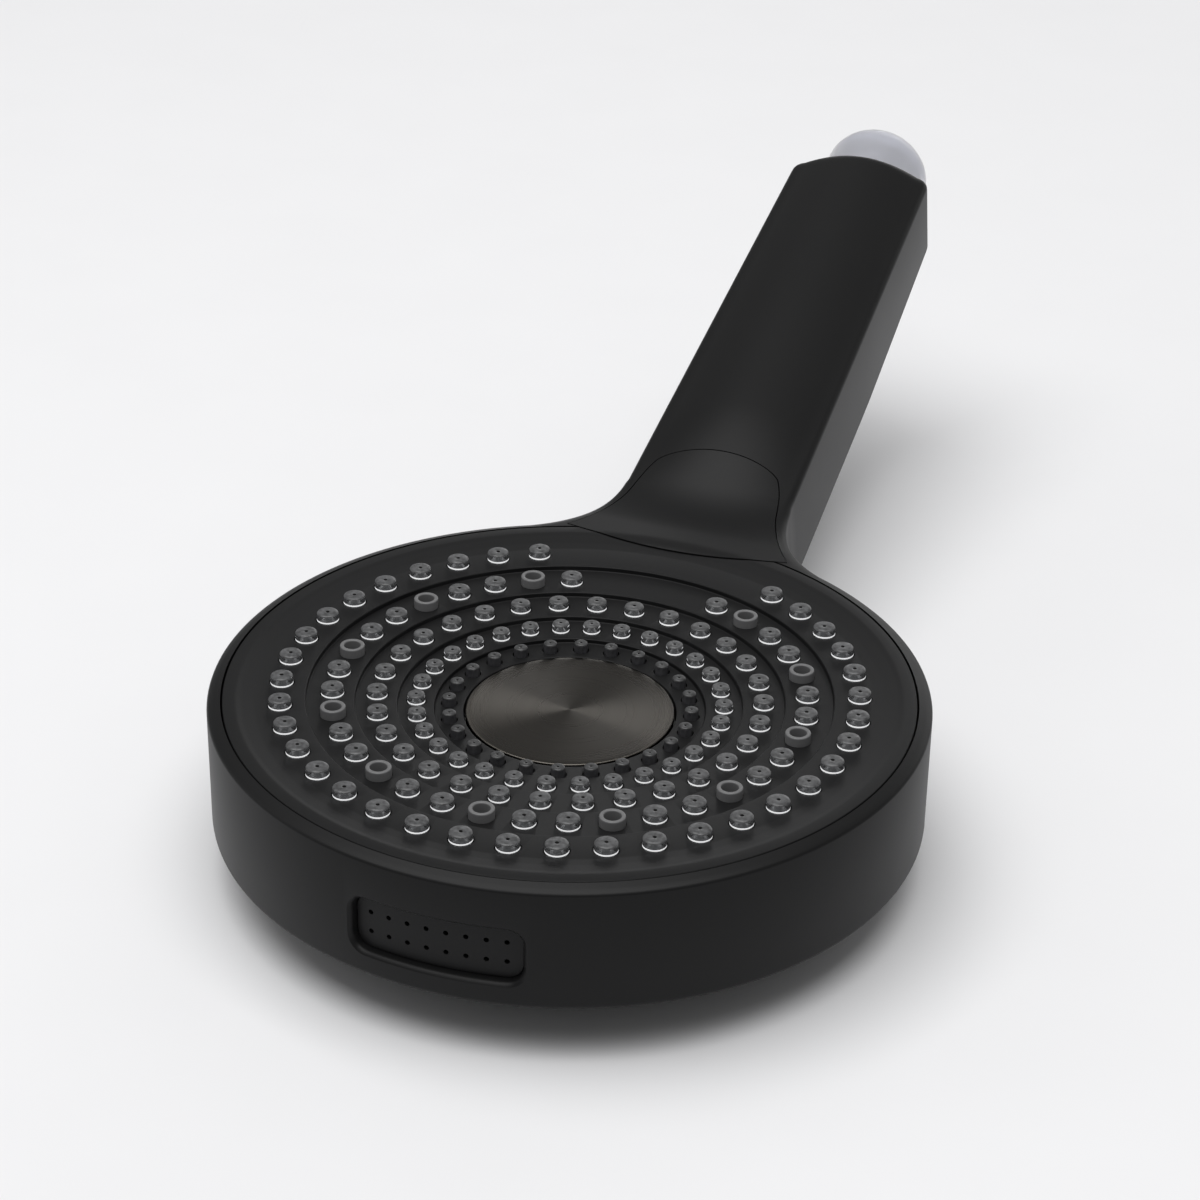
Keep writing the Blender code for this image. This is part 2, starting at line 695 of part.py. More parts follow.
def neck_trim():
    """The shield-shaped cover plate, flush in the neck."""
    trim = front_slab("neck_trim", 0.0, TRIM, "trim_graphite")
    combine(trim, trim_outline("neck_trim_outline", 0.0, 12 * MM), operation="INTERSECT")


def nozzle_mat(index):
    """One ring of soft outlets on its carrier, behind its terrace."""
    _, _, radius, _ = RINGS[index]
    inner_edges = [edge for edge, _ in TERRACES[1:]] + [BUTTON_RADIUS + BUTTON_CLEARANCE]
    outer = min(TERRACES[index][0], CHAMBER_RADIUS) - 2 * GAP
    inner = (inner_edges[index] + GAP) / math.cos(math.pi / INNER_STEPS)
    top = MAT_TOPS[index]
    colour = "smoky_silicone" if index == len(RINGS) - 1 else "clear_silicone"
    name = f"nozzle_mat_{index + 1}"
    mat = ring(name, inner, outer, top - MAT, top, colour)
    plain = [where for where, mist in outlet_places(index) if not mist]
    tip = TERRACES[index][1] + NOZZLE_RISE
    cones = rods(
        f"{name}_outlets", plain, top - MAT / 2, tip, radius, NOZZLE_SIDES, radius * 0.92
    )
    combine(mat, cones, operation="UNION")
    if index == 1:
        tubes = [where for where, mist in outlet_places(index) if mist]
        holes = rods("mat_mist_holes", tubes, top - 2 * MAT, top + MAT, MIST_RADIUS + GAP, 6)
        combine(mat, holes)


def mist_nozzles():
    """The hard mist tubes of the second ring, on their own manifold inside that channel."""
    radius, _, _, half = RINGS[1]
    top = MAT_TOPS[1] - MAT - GAP
    bottom = top - MIST_PLATE
    inner, outer = radius - half + GAP, radius + half - GAP
    manifold = ring("mist_nozzles", inner, outer, bottom, top, "grey_plastic", CHANNEL_STEPS)
    places = [where for where, mist in outlet_places(1) if mist]
    tip = TERRACES[1][1] + MIST_RISE
    tubes = rods("mist_tubes", places, top - MIST_PLATE / 2, tip, MIST_RADIUS, 6)
    bores = rods("mist_bores", places, bottom - MM, tip + MM, MIST_BORE, 6)
    combine(manifold, tubes, operation="UNION")
    gap = INLET_BLOCK_HALF_WIDTH + GAP
    neck_gap = box("mist_neck_gap", (-gap, 0, bottom - MM), (gap, HEAD_RADIUS, top + MM))
    combine(manifold, bores, neck_gap)


# The spray engine


def screw(name, x, y, under_head, length, head_below=False):
    """A pan-head screw on an upright axis, its head above or below its shank."""
    profile = [
        (0, SCREW_HEAD_HEIGHT),
        (SCREW_HEAD * 0.8, SCREW_HEAD_HEIGHT),
        (SCREW_HEAD, SCREW_HEAD_HEIGHT * 0.6),
        (SCREW_HEAD, 0),
        (SCREW_SHANK, 0),
        (SCREW_SHANK, SCREW_SHANK - length),
        (0, -length),
    ]
    flip = Matrix.Rotation(math.pi if head_below else 0.0, 4, "X")
    turned(name, profile, "steel", 8, Matrix.Translation((x, y, under_head)) @ flip)


def spray_chamber():
    """The distributor: five ring channels under the mats, the button's well and the water inlet."""
    profile = [(CHAMBER_RADIUS, CHAMBER_TOPS[0])]
    inner_edges = [edge for edge, _ in TERRACES[1:]]
    for index, (radius, _, _, half) in enumerate(RINGS):
        top = CHAMBER_TOPS[index]
        profile += [(radius + half, top), (radius + half, CHANNEL_FLOOR)]
        profile += [(radius - half, CHANNEL_FLOOR), (radius - half, top)]
        if index < len(inner_edges):
            profile += [(inner_edges[index], top), (inner_edges[index], CHAMBER_TOPS[index + 1])]
    well = CARRIER_RADIUS + 0.85 * MM
    sleeve_top = CHANNEL_FLOOR + SLEEVE_HEIGHT
    profile += [(well, CHAMBER_TOPS[-1]), (well, CHANNEL_FLOOR), (SLEEVE_RADIUS, CHANNEL_FLOOR)]
    profile += [(SLEEVE_RADIUS, sleeve_top), (SLEEVE_BORE, sleeve_top)]
    profile += [(SLEEVE_BORE, CHAMBER_BOTTOM), (CHAMBER_RADIUS, CHAMBER_BOTTOM)]
    chamber = turned("spray_chamber", profile[::-1], "white_plastic", CHANNEL_STEPS)
    wide = INLET_BLOCK_HALF_WIDTH
    block_top = CHAMBER_TOPS[0] - GAP
    block = box(
        "inlet_block",
        (-wide, INLET_BLOCK_FROM, CHAMBER_BOTTOM + 0.2 * MM),
        (wide, INLET_BLOCK_TO, min(block_top, CHAMBER_TOPS[1] - 0.1 * MM)),
    )
    combine(chamber, block, operation="UNION")
    level = Matrix.Translation((0, 0, TUBE_HEIGHT_IN_HEAD)) @ Matrix.Rotation(-math.pi / 2, 4, "X")
    bore = rods(
        "inlet_bore_in_block",
        [(0, 0)],
        INLET_BLOCK_FROM + MM,
        INLET_BLOCK_TO + 5 * MM,
        SOCKET_RADIUS,
        16,
        None,
        None,
        level,
    )
    combine(chamber, bore)
    combine(chamber, inlet_drop("inlet_drop_in_chamber"), feed_holes())
    depth = SCREW_HEAD_HEIGHT + GAP
    spots = around(ENGINE_SCREW_CIRCLE, SCREW_COUNT, math.pi / 4)
    top = CHAMBER_TOPS[0]
    heads = rods("engine_counterbores", spots, top - depth, top + MM, SCREW_HEAD + GAP / 2, 8)
    shanks = rods("engine_shank_holes", spots, CHAMBER_BOTTOM - MM, top + MM, SCREW_SHANK + GAP, 6)
    pilots = rods(
        "chamber_pilots",
        around(SCREW_CIRCLE, SCREW_COUNT, math.pi / 4),
        CHAMBER_BOTTOM - MM,
        CHAMBER_BOTTOM + 6 * MM,
        SCREW_SHANK + GAP,
        6,
    )
    jet_port = box(
        "jet_port",
        (-JET_WIDTH / 4, -CHAMBER_RADIUS - MM, CHANNEL_FLOOR + MM),
        (JET_WIDTH / 4, -RINGS[0][0], CHANNEL_FLOOR + 6 * MM),
    )
    combine(chamber, heads, shanks, pilots, jet_port)
    for index, (x, y) in enumerate(spots):
        under_head = CHAMBER_TOPS[0] - SCREW_HEAD_HEIGHT - GAP / 2
        length = under_head - (BACK_CORNER - MM)
        screw(f"engine_screw_{index + 1}", x, y, under_head, length)


def inlet_drop(name):
    """The passage from the inlet down to the selector, through chamber and divider."""
    wide = INLET_DROP_HALF_WIDTH
    low_y = RINGS[2][0] + RINGS[2][3] + 0.6 * MM
    high_y = BACK_CUP_RADIUS - CUP_WALL - 0.6 * MM
    return box(name, (-wide, low_y, DIVIDER_BOTTOM - MM), (wide, high_y, TUBE_HEIGHT_IN_HEAD - MM))


def feed_holes():
    """A cutter from each lane of the divider up into the channels it feeds."""
    spots = []
    for index, lane in enumerate(LANES):
        angle = PORT_START + 2 * math.pi * index / len(LANES)
        spots += [polar(RINGS[ring_index][0] - FEED_INSET, angle) for ring_index in lane]
    return rods("feed_holes", spots, CHAMBER_BOTTOM - MM, CHANNEL_FLOOR + MM, FEED_HOLE, 6)


def flow_divider():
    """The plate that leads each port outwards to its channels along a groove in its top."""
    divider = ring(
        "flow_divider",
        STEM_RADIUS + GAP,
        DIVIDER_RADIUS,
        DIVIDER_BOTTOM,
        DIVIDER_TOP,
        "grey_plastic",
    )
    groove_floor = DIVIDER_TOP - DIVIDER / 2
    lanes = bmesh.new()
    for index, lane in enumerate(LANES):
        turn = Matrix.Rotation(PORT_START + 2 * math.pi * index / len(LANES), 4, "Z")
        length = RINGS[lane[0]][0] - FEED_INSET - PORT_CIRCLE
        middle = Vector((PORT_CIRCLE + length / 2, 0, (groove_floor + DIVIDER_TOP + MM) / 2))
        size = (length, 1.6 * PORT_RADIUS, DIVIDER_TOP + MM - groove_floor, 1)
        where = turn @ Matrix.Translation(middle) @ Matrix.Diagonal(size)
        bmesh.ops.create_cube(lanes, size=1, matrix=where)
    port_spots = around(PORT_CIRCLE, len(LANES), PORT_START)
    low, high = DIVIDER_BOTTOM - MM, groove_floor + MM / 2
    ports = rods("divider_ports", port_spots, low, high, PORT_RADIUS, 8)
    spots = around(SCREW_CIRCLE, SCREW_COUNT, math.pi / 4)
    holes = rods("divider_holes", spots, DIVIDER_BOTTOM - MM, DIVIDER_TOP + MM, SCREW_SHANK + GAP, 6)
    combine(divider, inlet_drop("inlet_drop_in_divider"), holes, ports)
    combine(divider, from_bmesh("divider_lanes", lanes))


def chamber_back():
    """The cup that closes the engine from behind and carries the selector rotor."""
    rest_inner, rest_outer = 0.75 * ROTOR_RADIUS, 0.9 * ROTOR_RADIUS
    pit = STEM_SNAP + 2.6 * MM
    floor = BACK_FLOOR_TOP
    pit_floor = WALL + GAP + 1.4 * MM
    flange_bottom = BACK_TOP - BACK_FLANGE
    profile = [
        (0, pit_floor),
        (pit, pit_floor),
        (pit, floor),
        (rest_inner, floor),
        (rest_inner, ROTOR_BOTTOM - GAP),
        (rest_outer, ROTOR_BOTTOM - GAP),
        (rest_outer, floor),
        (BACK_CUP_RADIUS - CUP_WALL, floor),
        (BACK_CUP_RADIUS - CUP_WALL, BACK_TOP),
        (BACK_FLANGE_RADIUS, BACK_TOP),
        (BACK_FLANGE_RADIUS, flange_bottom),
        (BACK_CUP_RADIUS, flange_bottom),
        (BACK_CUP_RADIUS, floor),
        (BACK_CUP_RADIUS - 1.5 * MM, floor - BACK_FLOOR),
        (pit + 1.5 * MM, floor - BACK_FLOOR),
        (pit + 1.5 * MM, WALL + GAP),
        (0, WALL + GAP),
    ]
    back = turned("chamber_back", profile, "grey_plastic")
    spots = around(SCREW_CIRCLE, SCREW_COUNT, math.pi / 4)
    holes = rods("back_holes", spots, flange_bottom - MM, BACK_TOP + MM, SCREW_SHANK + GAP, 6)
    combine(back, holes)
    seal_outer = SCREW_CIRCLE - SCREW_SHANK - 2 * GAP
    seal_bottom = BACK_TOP + SEAL_GAP
    seal_inner = BACK_CUP_RADIUS - CUP_WALL
    ring("chamber_seal", seal_inner, seal_outer, seal_bottom, seal_bottom + CHAMBER_SEAL, "black_rubber")
    under_head = flange_bottom - GAP / 2
    length = CHAMBER_BOTTOM + 4 * MM - under_head
    for index, (x, y) in enumerate(spots):
        screw(f"chamber_screw_{index + 1}", x, y, under_head, length, head_below=True)


def side_jets():
    """The jet plate seated in the rim's window from inside, and the gasket behind it."""
    face = HEAD_RADIUS - JET_RECESS
    flange_face = OPENING_RADIUS - GAP
    flange_back = flange_face - 1.4 * MM
    low, high = JET_MIDDLE - JET_HEIGHT, JET_MIDDLE + JET_HEIGHT
    plate = ring("side_jet_plate", flange_back, face, low, high, "black_plate", ROUND_STEPS)
    combine(plate, jet_window("side_jet_flange", JET_FLANGE - MM), operation="INTERSECT")
    outside = turned(
        "side_jet_shoulder",
        [(face + MM, high), (face + MM, low), (flange_face, low), (flange_face, high)],
        None,
        ROUND_STEPS,
    )
    combine(outside, jet_window("side_jet_boss", -GAP))
    combine(plate, outside)
    holes = bmesh.new()
    for angle in jet_angles():
        for side in (-1, 1):
            height = JET_MIDDLE + side * JET_ROW_SPACING / 2
            turn = Matrix.Rotation(angle, 4, "Z") @ Matrix.Rotation(math.pi / 2, 4, "Y")
            where = Matrix.Translation((0, 0, height)) @ turn @ Matrix.Translation((0, 0, face))
            bmesh.ops.create_cone(
                holes,
                cap_ends=True,
                segments=6,
                radius1=JET_HOLE,
                radius2=JET_HOLE,
                depth=12 * MM,
                matrix=where,
            )
    combine(plate, from_bmesh("side_jet_holes", holes))
    inner, outer = CHAMBER_RADIUS + SEAL_GAP, flange_back - SEAL_GAP
    gasket = ring("side_jet_gasket", inner, outer, low, high, "black_rubber", ROUND_STEPS)
    combine(gasket, jet_window("gasket_outline", JET_FLANGE - MM), operation="INTERSECT")
    combine(gasket, jet_window("gasket_opening", -1.2 * MM))


# The push button and the selector


def push_button():
    """The centre disc on its sprung carrier, pressed towards the back."""
    disc_bottom = BUTTON_TOP - BUTTON_DISC
    place = Matrix.Translation((0, 0, disc_bottom))
    disc = [(0, BUTTON_DISC), (BUTTON_RADIUS, BUTTON_DISC), (BUTTON_RADIUS, 0), (0, 0)]
    turned("button_disc", disc, "brushed_disc", ROUND_STEPS, place)
    top = disc_bottom - GAP
    plate_bottom = top - CARRIER_PLATE
    skirt_bottom = plate_bottom - CARRIER_SKIRT
    skirt_inner = CARRIER_RADIUS - 1.5 * MM
    carrier = [
        (0, top),
        (CARRIER_RADIUS, top),
        (CARRIER_RADIUS, skirt_bottom),
        (skirt_inner, skirt_bottom),
        (skirt_inner, plate_bottom),
        (STEM_RADIUS, plate_bottom),
        (STEM_RADIUS, STEM_END + SNAP_HEIGHT),
        (STEM_SNAP, STEM_END + SNAP_HEIGHT),
        (STEM_RADIUS, STEM_END),
        (0, STEM_END),
    ]
    turned("button_carrier", carrier, "grey_plastic")
    spring_bottom = CHANNEL_FLOOR + SEAL_GAP
    coil(
        "button_spring",
        SPRING_RADIUS,
        SPRING_WIRE,
        spring_bottom,
        plate_bottom - SEAL_GAP,
        SPRING_TURNS,
        "steel",
    )
    middle = (STEM_RADIUS + SLEEVE_BORE) / 2
    section = (SLEEVE_BORE - STEM_RADIUS) / 2 - SEAL_GAP
    seal_height = CHANNEL_FLOOR + SLEEVE_HEIGHT / 2
    place = Matrix.Translation((0, 0, seal_height))
    o_ring("stem_o_ring", middle, section, "black_rubber", place)


def selector():
    """The rotor that opens one port at a time, and the seal between it and the divider."""
    place = Matrix.Translation((0, 0, ROTOR_BOTTOM))
    thick = ROTOR_TOP - ROTOR_BOTTOM
    rotor = ring("selector_rotor", ROTOR_BORE, ROTOR_RADIUS, 0, thick, "white_plastic", INNER_STEPS, place)
    opening = rods("rotor_opening", [polar(PORT_CIRCLE, PORT_START)], 0, HEAD_HEIGHT / 2, PORT_RADIUS, 8)
    notches = rods("ratchet_notches", around(ROTOR_RADIUS, 12), 0, HEAD_HEIGHT / 2, MM, 6)
    combine(rotor, opening, notches)
    low, high = ROTOR_TOP + SEAL_GAP, DIVIDER_BOTTOM - SEAL_GAP
    inner, outer = PORT_CIRCLE - PORT_RADIUS - MM, PORT_CIRCLE + PORT_RADIUS + MM
    seal = ring("rotor_seal", inner, outer, low, high, "black_rubber")
    spots = around(PORT_CIRCLE, len(LANES), PORT_START)
    combine(seal, rods("seal_ports", spots, low - MM, high + MM, PORT_RADIUS, 8))


# The water path in the handle


def tube_point(s):
    """The water tube's centre line, easing from the head's inlet to the handle's axis."""
    start = -(HEAD_HEIGHT - TUBE_HEIGHT_IN_HEAD)
    t = min(max((s - BEND_START) / (0.6 * HANDLE_END - BEND_START), 0.0), 1.0)
    n = start + (-AXIS_DEPTH - start) * t * t * (3 - 2 * t)
    return along_handle(0, s, n)


def water_tube():
    """The tube from the inlet fitting to the spray engine, with a seal at each end."""
    fitting_end = HANDLE_END - VALVE_BORE_DEPTH - FITTING_THROAT_LENGTH - MM
    first, last = INLET_BLOCK_FROM + 9 * MM, fitting_end
    places = [first, INLET_BLOCK_TO, BEND_START]
    places += [BEND_START + (last - 12 * MM - BEND_START) * i / 9 for i in range(1, 10)] + [last]
    points = [tube_point(s) for s in places]
    tube = wire("water_tube", points, TUBE_RADIUS, "grey_plastic", None, 2)
    direction = (points[0] - points[1]).normalized()
    longer = [points[0] + direction * MM, *points[1:-1]]
    longer.append(points[-1] + (points[-1] - points[-2]).normalized() * MM)
    combine(tube, wire("water_tube_bore", longer, TUBE_BORE, None, None, 2))
    middle = (TUBE_RADIUS + SOCKET_RADIUS) / 2
    section = (SOCKET_RADIUS - TUBE_RADIUS) / 2 - SEAL_GAP
    level = Matrix.Rotation(-math.pi / 2, 4, "X")
    seat = Matrix.Translation((0, INLET_BLOCK_TO - 4 * MM, TUBE_HEIGHT_IN_HEAD)) @ level
    o_ring("tube_o_ring_head", middle, section, "black_rubber", seat)
    rear = -VALVE_BORE_DEPTH - FITTING_THROAT_LENGTH - FITTING_SOCKET_LENGTH / 2
    o_ring("tube_o_ring_inlet", middle, section, "black_rubber", AXIS @ Matrix.Translation((0, 0, rear)))


def inlet_fitting():
    """The threaded hose connector in the handle's end, bored for the valve parts."""
    crest = THREAD_RADIUS
    throat_out = -VALVE_BORE_DEPTH
    throat_in = throat_out - FITTING_THROAT_LENGTH
    rear = throat_in - FITTING_SOCKET_LENGTH
    socket_outer = SOCKET_RADIUS + FITTING_SOCKET_WALL
    neck = -END_WALL - GAP
    profile = [
        (crest - THREAD_CHAMFER, THREAD_LENGTH),
        (crest, THREAD_LENGTH - THREAD_CHAMFER),
        (crest, GAP),
        (COLLAR_RADIUS, GAP),
        (COLLAR_RADIUS, neck),
        (FITTING_BODY_RADIUS, neck),
        (FITTING_BODY_RADIUS, throat_in),
        (socket_outer, throat_in - MM),
        (socket_outer, rear),
        (SOCKET_RADIUS, rear),
        (SOCKET_RADIUS, throat_in),
        (FITTING_THROAT, throat_in),
        (FITTING_THROAT, throat_out),
        (VALVE_BORE, throat_out),
        (VALVE_BORE, THREAD_LENGTH),
    ]
    turned("inlet_fitting", profile, "brass", INNER_STEPS, AXIS)


def check_valve():
    """The non-return valve in the fitting: its sleeve with seat and spider, poppet and spring."""
    outer = VALVE_BORE - GAP
    inner = outer - VALVE_SLEEVE_WALL
    back = -VALVE_BORE_DEPTH + GAP
    spider = back + VALVE_SPIDER
    seat = VALVE_SLEEVE_TOP - VALVE_SEAT
    guide = POPPET_STEM + GAP
    profile = [
        (outer, VALVE_SLEEVE_TOP),
        (outer, back),
        (guide, back),
        (guide, spider),
        (inner, spider),
        (inner, seat),
        (VALVE_SEAT_BORE, seat),
        (VALVE_SEAT_BORE, VALVE_SLEEVE_TOP),
    ]
    sleeve = turned("check_valve_body", profile, "white_plastic", 16, AXIS)
    middle = (guide + inner) / 2
    flow_hole = (inner - guide) / 2 - 0.5 * MM
    spots = around(middle, 5)
    combine(sleeve, rods("spider_holes", spots, back - MM, spider + MM, flow_hole, 6, None, None, AXIS))
    rest = seat - GAP / 2
    spring_top = rest - POPPET_HEAD
    poppet = [
        (0, rest + 0.9 * MM),
        (VALVE_SEAT_BORE - 1.5 * GAP, rest + 0.9 * MM),
        (VALVE_SEAT_BORE - GAP, rest),
        (POPPET_RADIUS, rest),
        (POPPET_RADIUS, spring_top),
        (POPPET_STEM, spring_top),
        (POPPET_STEM, back + 0.4 * MM),
        (0, back + 0.4 * MM),
    ]
    turned("check_valve_poppet", poppet, "grey_plastic", 16, AXIS)
    coil(
        "check_valve_spring",
        VALVE_SPRING_RADIUS,
        VALVE_SPRING_WIRE,
        spider + SEAL_GAP,
        spring_top - SEAL_GAP,
        VALVE_SPRING_TURNS,
        "steel",
        AXIS,
        8,
    )


def perforated_disc(name, bottom, top, rows, hole, colour):
    """A disc in the fitting's bore with rings of holes, each (circle radius, count)."""
    radius = VALVE_BORE - GAP
    profile = [(0, top), (radius, top), (radius, bottom), (0, bottom)]
    disc = turned(name, profile, colour, 16, AXIS)
    spots = [(0.0, 0.0)]
    for circle, count in rows:
        spots += around(circle, count)
    combine(disc, rods(f"{name}_holes", spots, bottom - MM, top + MM, hole, 6, None, None, AXIS))


def protective_cap():
    """The thin moulded cap pushed over the inlet's thread."""
    inner, inner_dome = CAP_RADIUS - CAP_WALL, CAP_DOME - CAP_WALL
    profile = []
    for i in range(5):
        angle = math.pi / 2 * (1 - i / 4)
        profile.append((CAP_RADIUS * math.cos(angle) if i else 0, CAP_SKIRT + CAP_DOME * math.sin(angle)))
    profile += [(CAP_RADIUS, GAP), (inner, GAP)]
    for i in range(5):
        angle = math.pi / 2 * i / 4
        profile.append((inner * math.cos(angle) if i < 4 else 0, CAP_SKIRT + inner_dome * math.sin(angle)))
    turned("protective_cap", profile, "milky_cap", INNER_STEPS, AXIS)


def main():
    handset_shell()
    faceplate()
    neck_trim()
    for index in range(len(RINGS)):
        nozzle_mat(index)
    mist_nozzles()
    spray_chamber()
    flow_divider()
    chamber_back()
    side_jets()
    push_button()
    selector()
    water_tube()
    inlet_fitting()
    check_valve()
    low = VALVE_SLEEVE_TOP + GAP
    high = low + REGULATOR
    perforated_disc("flow_regulator", low, high, REGULATOR_ROWS, REGULATOR_HOLE, "grey_plastic")
    high = THREAD_LENGTH - GAP
    low = high - STRAINER
    perforated_disc("inlet_strainer", low, high, STRAINER_ROWS, STRAINER_HOLE, "steel")
    protective_cap()


main()
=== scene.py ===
"""The looks of a handheld shower head, built around its fixed frame.

Laid out as an add-on and run as a script. Everything is in metres. The origin is the centre of the
head's flat back, the spray face looks along +Z and the handle leaves along +Y, rising as it goes.
Along the handle a place is (x, s, n): x across, s the distance from the head's axis measured along
the front edge, n the height above that edge. Along the hose inlet a place is measured outwards from
the handle's end face.
"""

import json
import math

import bmesh
import bpy
from mathutils import Matrix, Vector

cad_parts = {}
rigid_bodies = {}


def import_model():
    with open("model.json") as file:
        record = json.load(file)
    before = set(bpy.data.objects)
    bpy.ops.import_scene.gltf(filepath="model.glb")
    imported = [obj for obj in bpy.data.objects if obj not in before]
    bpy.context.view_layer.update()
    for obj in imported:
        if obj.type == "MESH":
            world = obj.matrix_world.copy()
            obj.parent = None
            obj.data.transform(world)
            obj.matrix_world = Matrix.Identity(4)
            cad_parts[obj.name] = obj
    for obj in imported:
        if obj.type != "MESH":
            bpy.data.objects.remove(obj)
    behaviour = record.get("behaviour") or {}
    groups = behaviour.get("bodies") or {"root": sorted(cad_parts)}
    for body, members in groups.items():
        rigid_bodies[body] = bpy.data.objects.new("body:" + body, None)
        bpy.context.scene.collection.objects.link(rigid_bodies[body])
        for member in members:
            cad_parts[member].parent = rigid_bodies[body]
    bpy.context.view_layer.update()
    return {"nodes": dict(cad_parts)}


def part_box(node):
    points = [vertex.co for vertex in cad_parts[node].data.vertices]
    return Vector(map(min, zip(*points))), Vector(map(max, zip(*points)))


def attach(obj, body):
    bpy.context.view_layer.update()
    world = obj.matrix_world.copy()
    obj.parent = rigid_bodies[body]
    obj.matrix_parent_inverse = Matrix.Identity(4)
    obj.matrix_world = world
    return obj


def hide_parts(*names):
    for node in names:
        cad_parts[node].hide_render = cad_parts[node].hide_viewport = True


bl_info = {
    "name": "Handheld Shower Head",
    "version": (1, 0, 0),
    "blender": (4, 5, 0),
    "location": "3D View > Sidebar > Shower Head",
    "description": "Builds the detailed pieces and finishes of a handheld shower head",
    "category": "Object",
}

MM = 0.001

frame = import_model()

# Sizes read from the frame
HEAD_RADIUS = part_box("handset_shell")[1].x
FACE_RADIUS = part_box("faceplate")[1].x
DISC_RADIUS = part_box("button_disc")[1].x
DISC_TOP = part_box("button_disc")[1].z
DISC_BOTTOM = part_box("button_disc")[0].z

# Fits and fine detail
GAP = 0.3 * MM
OPENING_RADIUS = FACE_RADIUS + GAP
DISC_OPENING = DISC_RADIUS + 0.31 * MM
RIM_REACH = HEAD_RADIUS + 8 * MM
ROUND = 192
TINY = 1e-7

# The spray face, from the border inwards: each terrace as (outer radius, height of its top)
TERRACES = (
    (56.7 * MM, 32.2 * MM),
    (45.6 * MM, 31.2 * MM),
    (37.2 * MM, 30.2 * MM),
    (29.9 * MM, 29.2 * MM),
    (23.5 * MM, 28.3 * MM),
)
# Each ring of outlets: circle radius, places round the full circle, outlet radius, places left
# out on each side of the neck
RINGS = (
    (50.0 * MM, 40, 2.0 * MM, 2),
    (41.1 * MM, 36, 2.0 * MM, 1),
    (33.5 * MM, 30, 1.8 * MM, -1),
    (26.7 * MM, 30, 1.55 * MM, -1),
    (21.1 * MM, 24, 1.25 * MM, -1),
)
# Which ring holds the mist tubes, and every how many of its places one stands
MIST_RING = 1
MIST_EVERY = 3
# The side jets: columns, the angle between them, the height between their rows, and how far the
# jet plate's shoulder reaches above and below it
JET_COLUMNS = 8
JET_STEP = math.radians(3.17)
JET_ROWS_APART = 3.67 * MM
JET_BAND = 2.0 * MM
# The rim's window, from outside in, as (distance from the head's axis, growth of its outline)
WINDOW_MOUTH = (
    (RIM_REACH, 1.1 * MM),
    (HEAD_RADIUS + 0.2 * MM, 0.9 * MM),
    (HEAD_RADIUS - 0.1 * MM, 0.55 * MM),
    (HEAD_RADIUS - 0.4 * MM, 0.2 * MM),
    (HEAD_RADIUS - 0.9 * MM, 0.0),
    (54 * MM, 0.0),
)
# The rim's lip, from the wall up, as (in from the wall, below the face)
LIP = (
    (0.0, 1.5 * MM),
    (0.0, 1.25 * MM),
    (0.1 * MM, 0.98 * MM),
    (0.4 * MM, 0.7 * MM),
    (1.3 * MM, 0.36 * MM),
    (2.35 * MM, 0.0),
)
# The handle's rounded end: back from the end face, share drawn in to the middle, share narrowed
END_ROUND = (
    (1.9 * MM, 0.0, 0.004),
    (1.2 * MM, 0.002, 0.018),
    (0.6 * MM, 0.007, 0.043),
    (0.2 * MM, 0.016, 0.072),
    (0.0, 0.03, 0.10),
)
# The border's soft inner edge, as (out from the first terrace's edge, below the face)
BORDER = (
    (0.9 * MM, 0.02 * MM),
    (0.0, 0.22 * MM),
    (-2.3 * MM, 0.58 * MM),
    (-4.3 * MM, 0.8 * MM),
)
# The spray plate's skirt, and the arc where the plate gives way to the trim
PLATE_SKIRT = 57.2 * MM
PLATE_ARC_MIDDLE = 148.7 * MM
PLATE_ARC_RADIUS = 94 * MM
# The neck trim: its ends on the middle line and the corners of its right half, as (x, y)
TRIM_BOTTOM = 54.7 * MM
TRIM_CORNER = (21.7 * MM, 57.3 * MM)
TRIM_WAIST = (14.7 * MM, 73.0 * MM)
TRIM_SHOULDER = (12.2 * MM, 81.5 * MM)
TRIM_TOP = 84.4 * MM
TRIM_SLAB_START = 52.7 * MM
# Between these heights an upright cutter passes right through the neck's front
NECK_CUT = (20 * MM, 60 * MM)
# The handle's hollow: how far inside its surface, and where it starts past the neck's tangent
HOLLOW_INSET = 4.4 * MM
HOLLOW_START = 1.4 * MM
# The hole for the fitting in the end wall, and the fitting behind the thread, as (radius, place
# along the inlet)
INLET_HOLE = 10.3 * MM
INLET_INSIDE = (
    (10.0 * MM, GAP),
    (10.0 * MM, -6.3 * MM),
    (8.5 * MM, -6.3 * MM),
    (8.5 * MM, -19 * MM),
    (6.5 * MM, -20 * MM),
    (6.5 * MM, -30 * MM),
    (5.1 * MM, -30 * MM),
    (5.1 * MM, -19 * MM),
    (3.4 * MM, -19 * MM),
    (3.4 * MM, -16 * MM),
)


def length(name, default, description):
    """A size in metres that a user can change."""
    return bpy.props.FloatProperty(
        name=name, default=default, description=description, unit="LENGTH", precision=5
    )


def share(name, default, description):
    """A plain number from 0 to 1 that a user can change."""
    return bpy.props.FloatProperty(
        name=name, default=default, description=description, min=0.0, max=1.0, subtype="FACTOR"
    )


def power(name, default, description):
    """A lamp's power that a user can change."""
    return bpy.props.FloatProperty(
        name=name, default=default, description=description, unit="POWER"
    )


def colour(name, default, description):
    """A colour that a user can change."""
    return bpy.props.FloatVectorProperty(
        name=name, default=default, description=description, size=3, min=0, max=1, subtype="COLOR"
    )


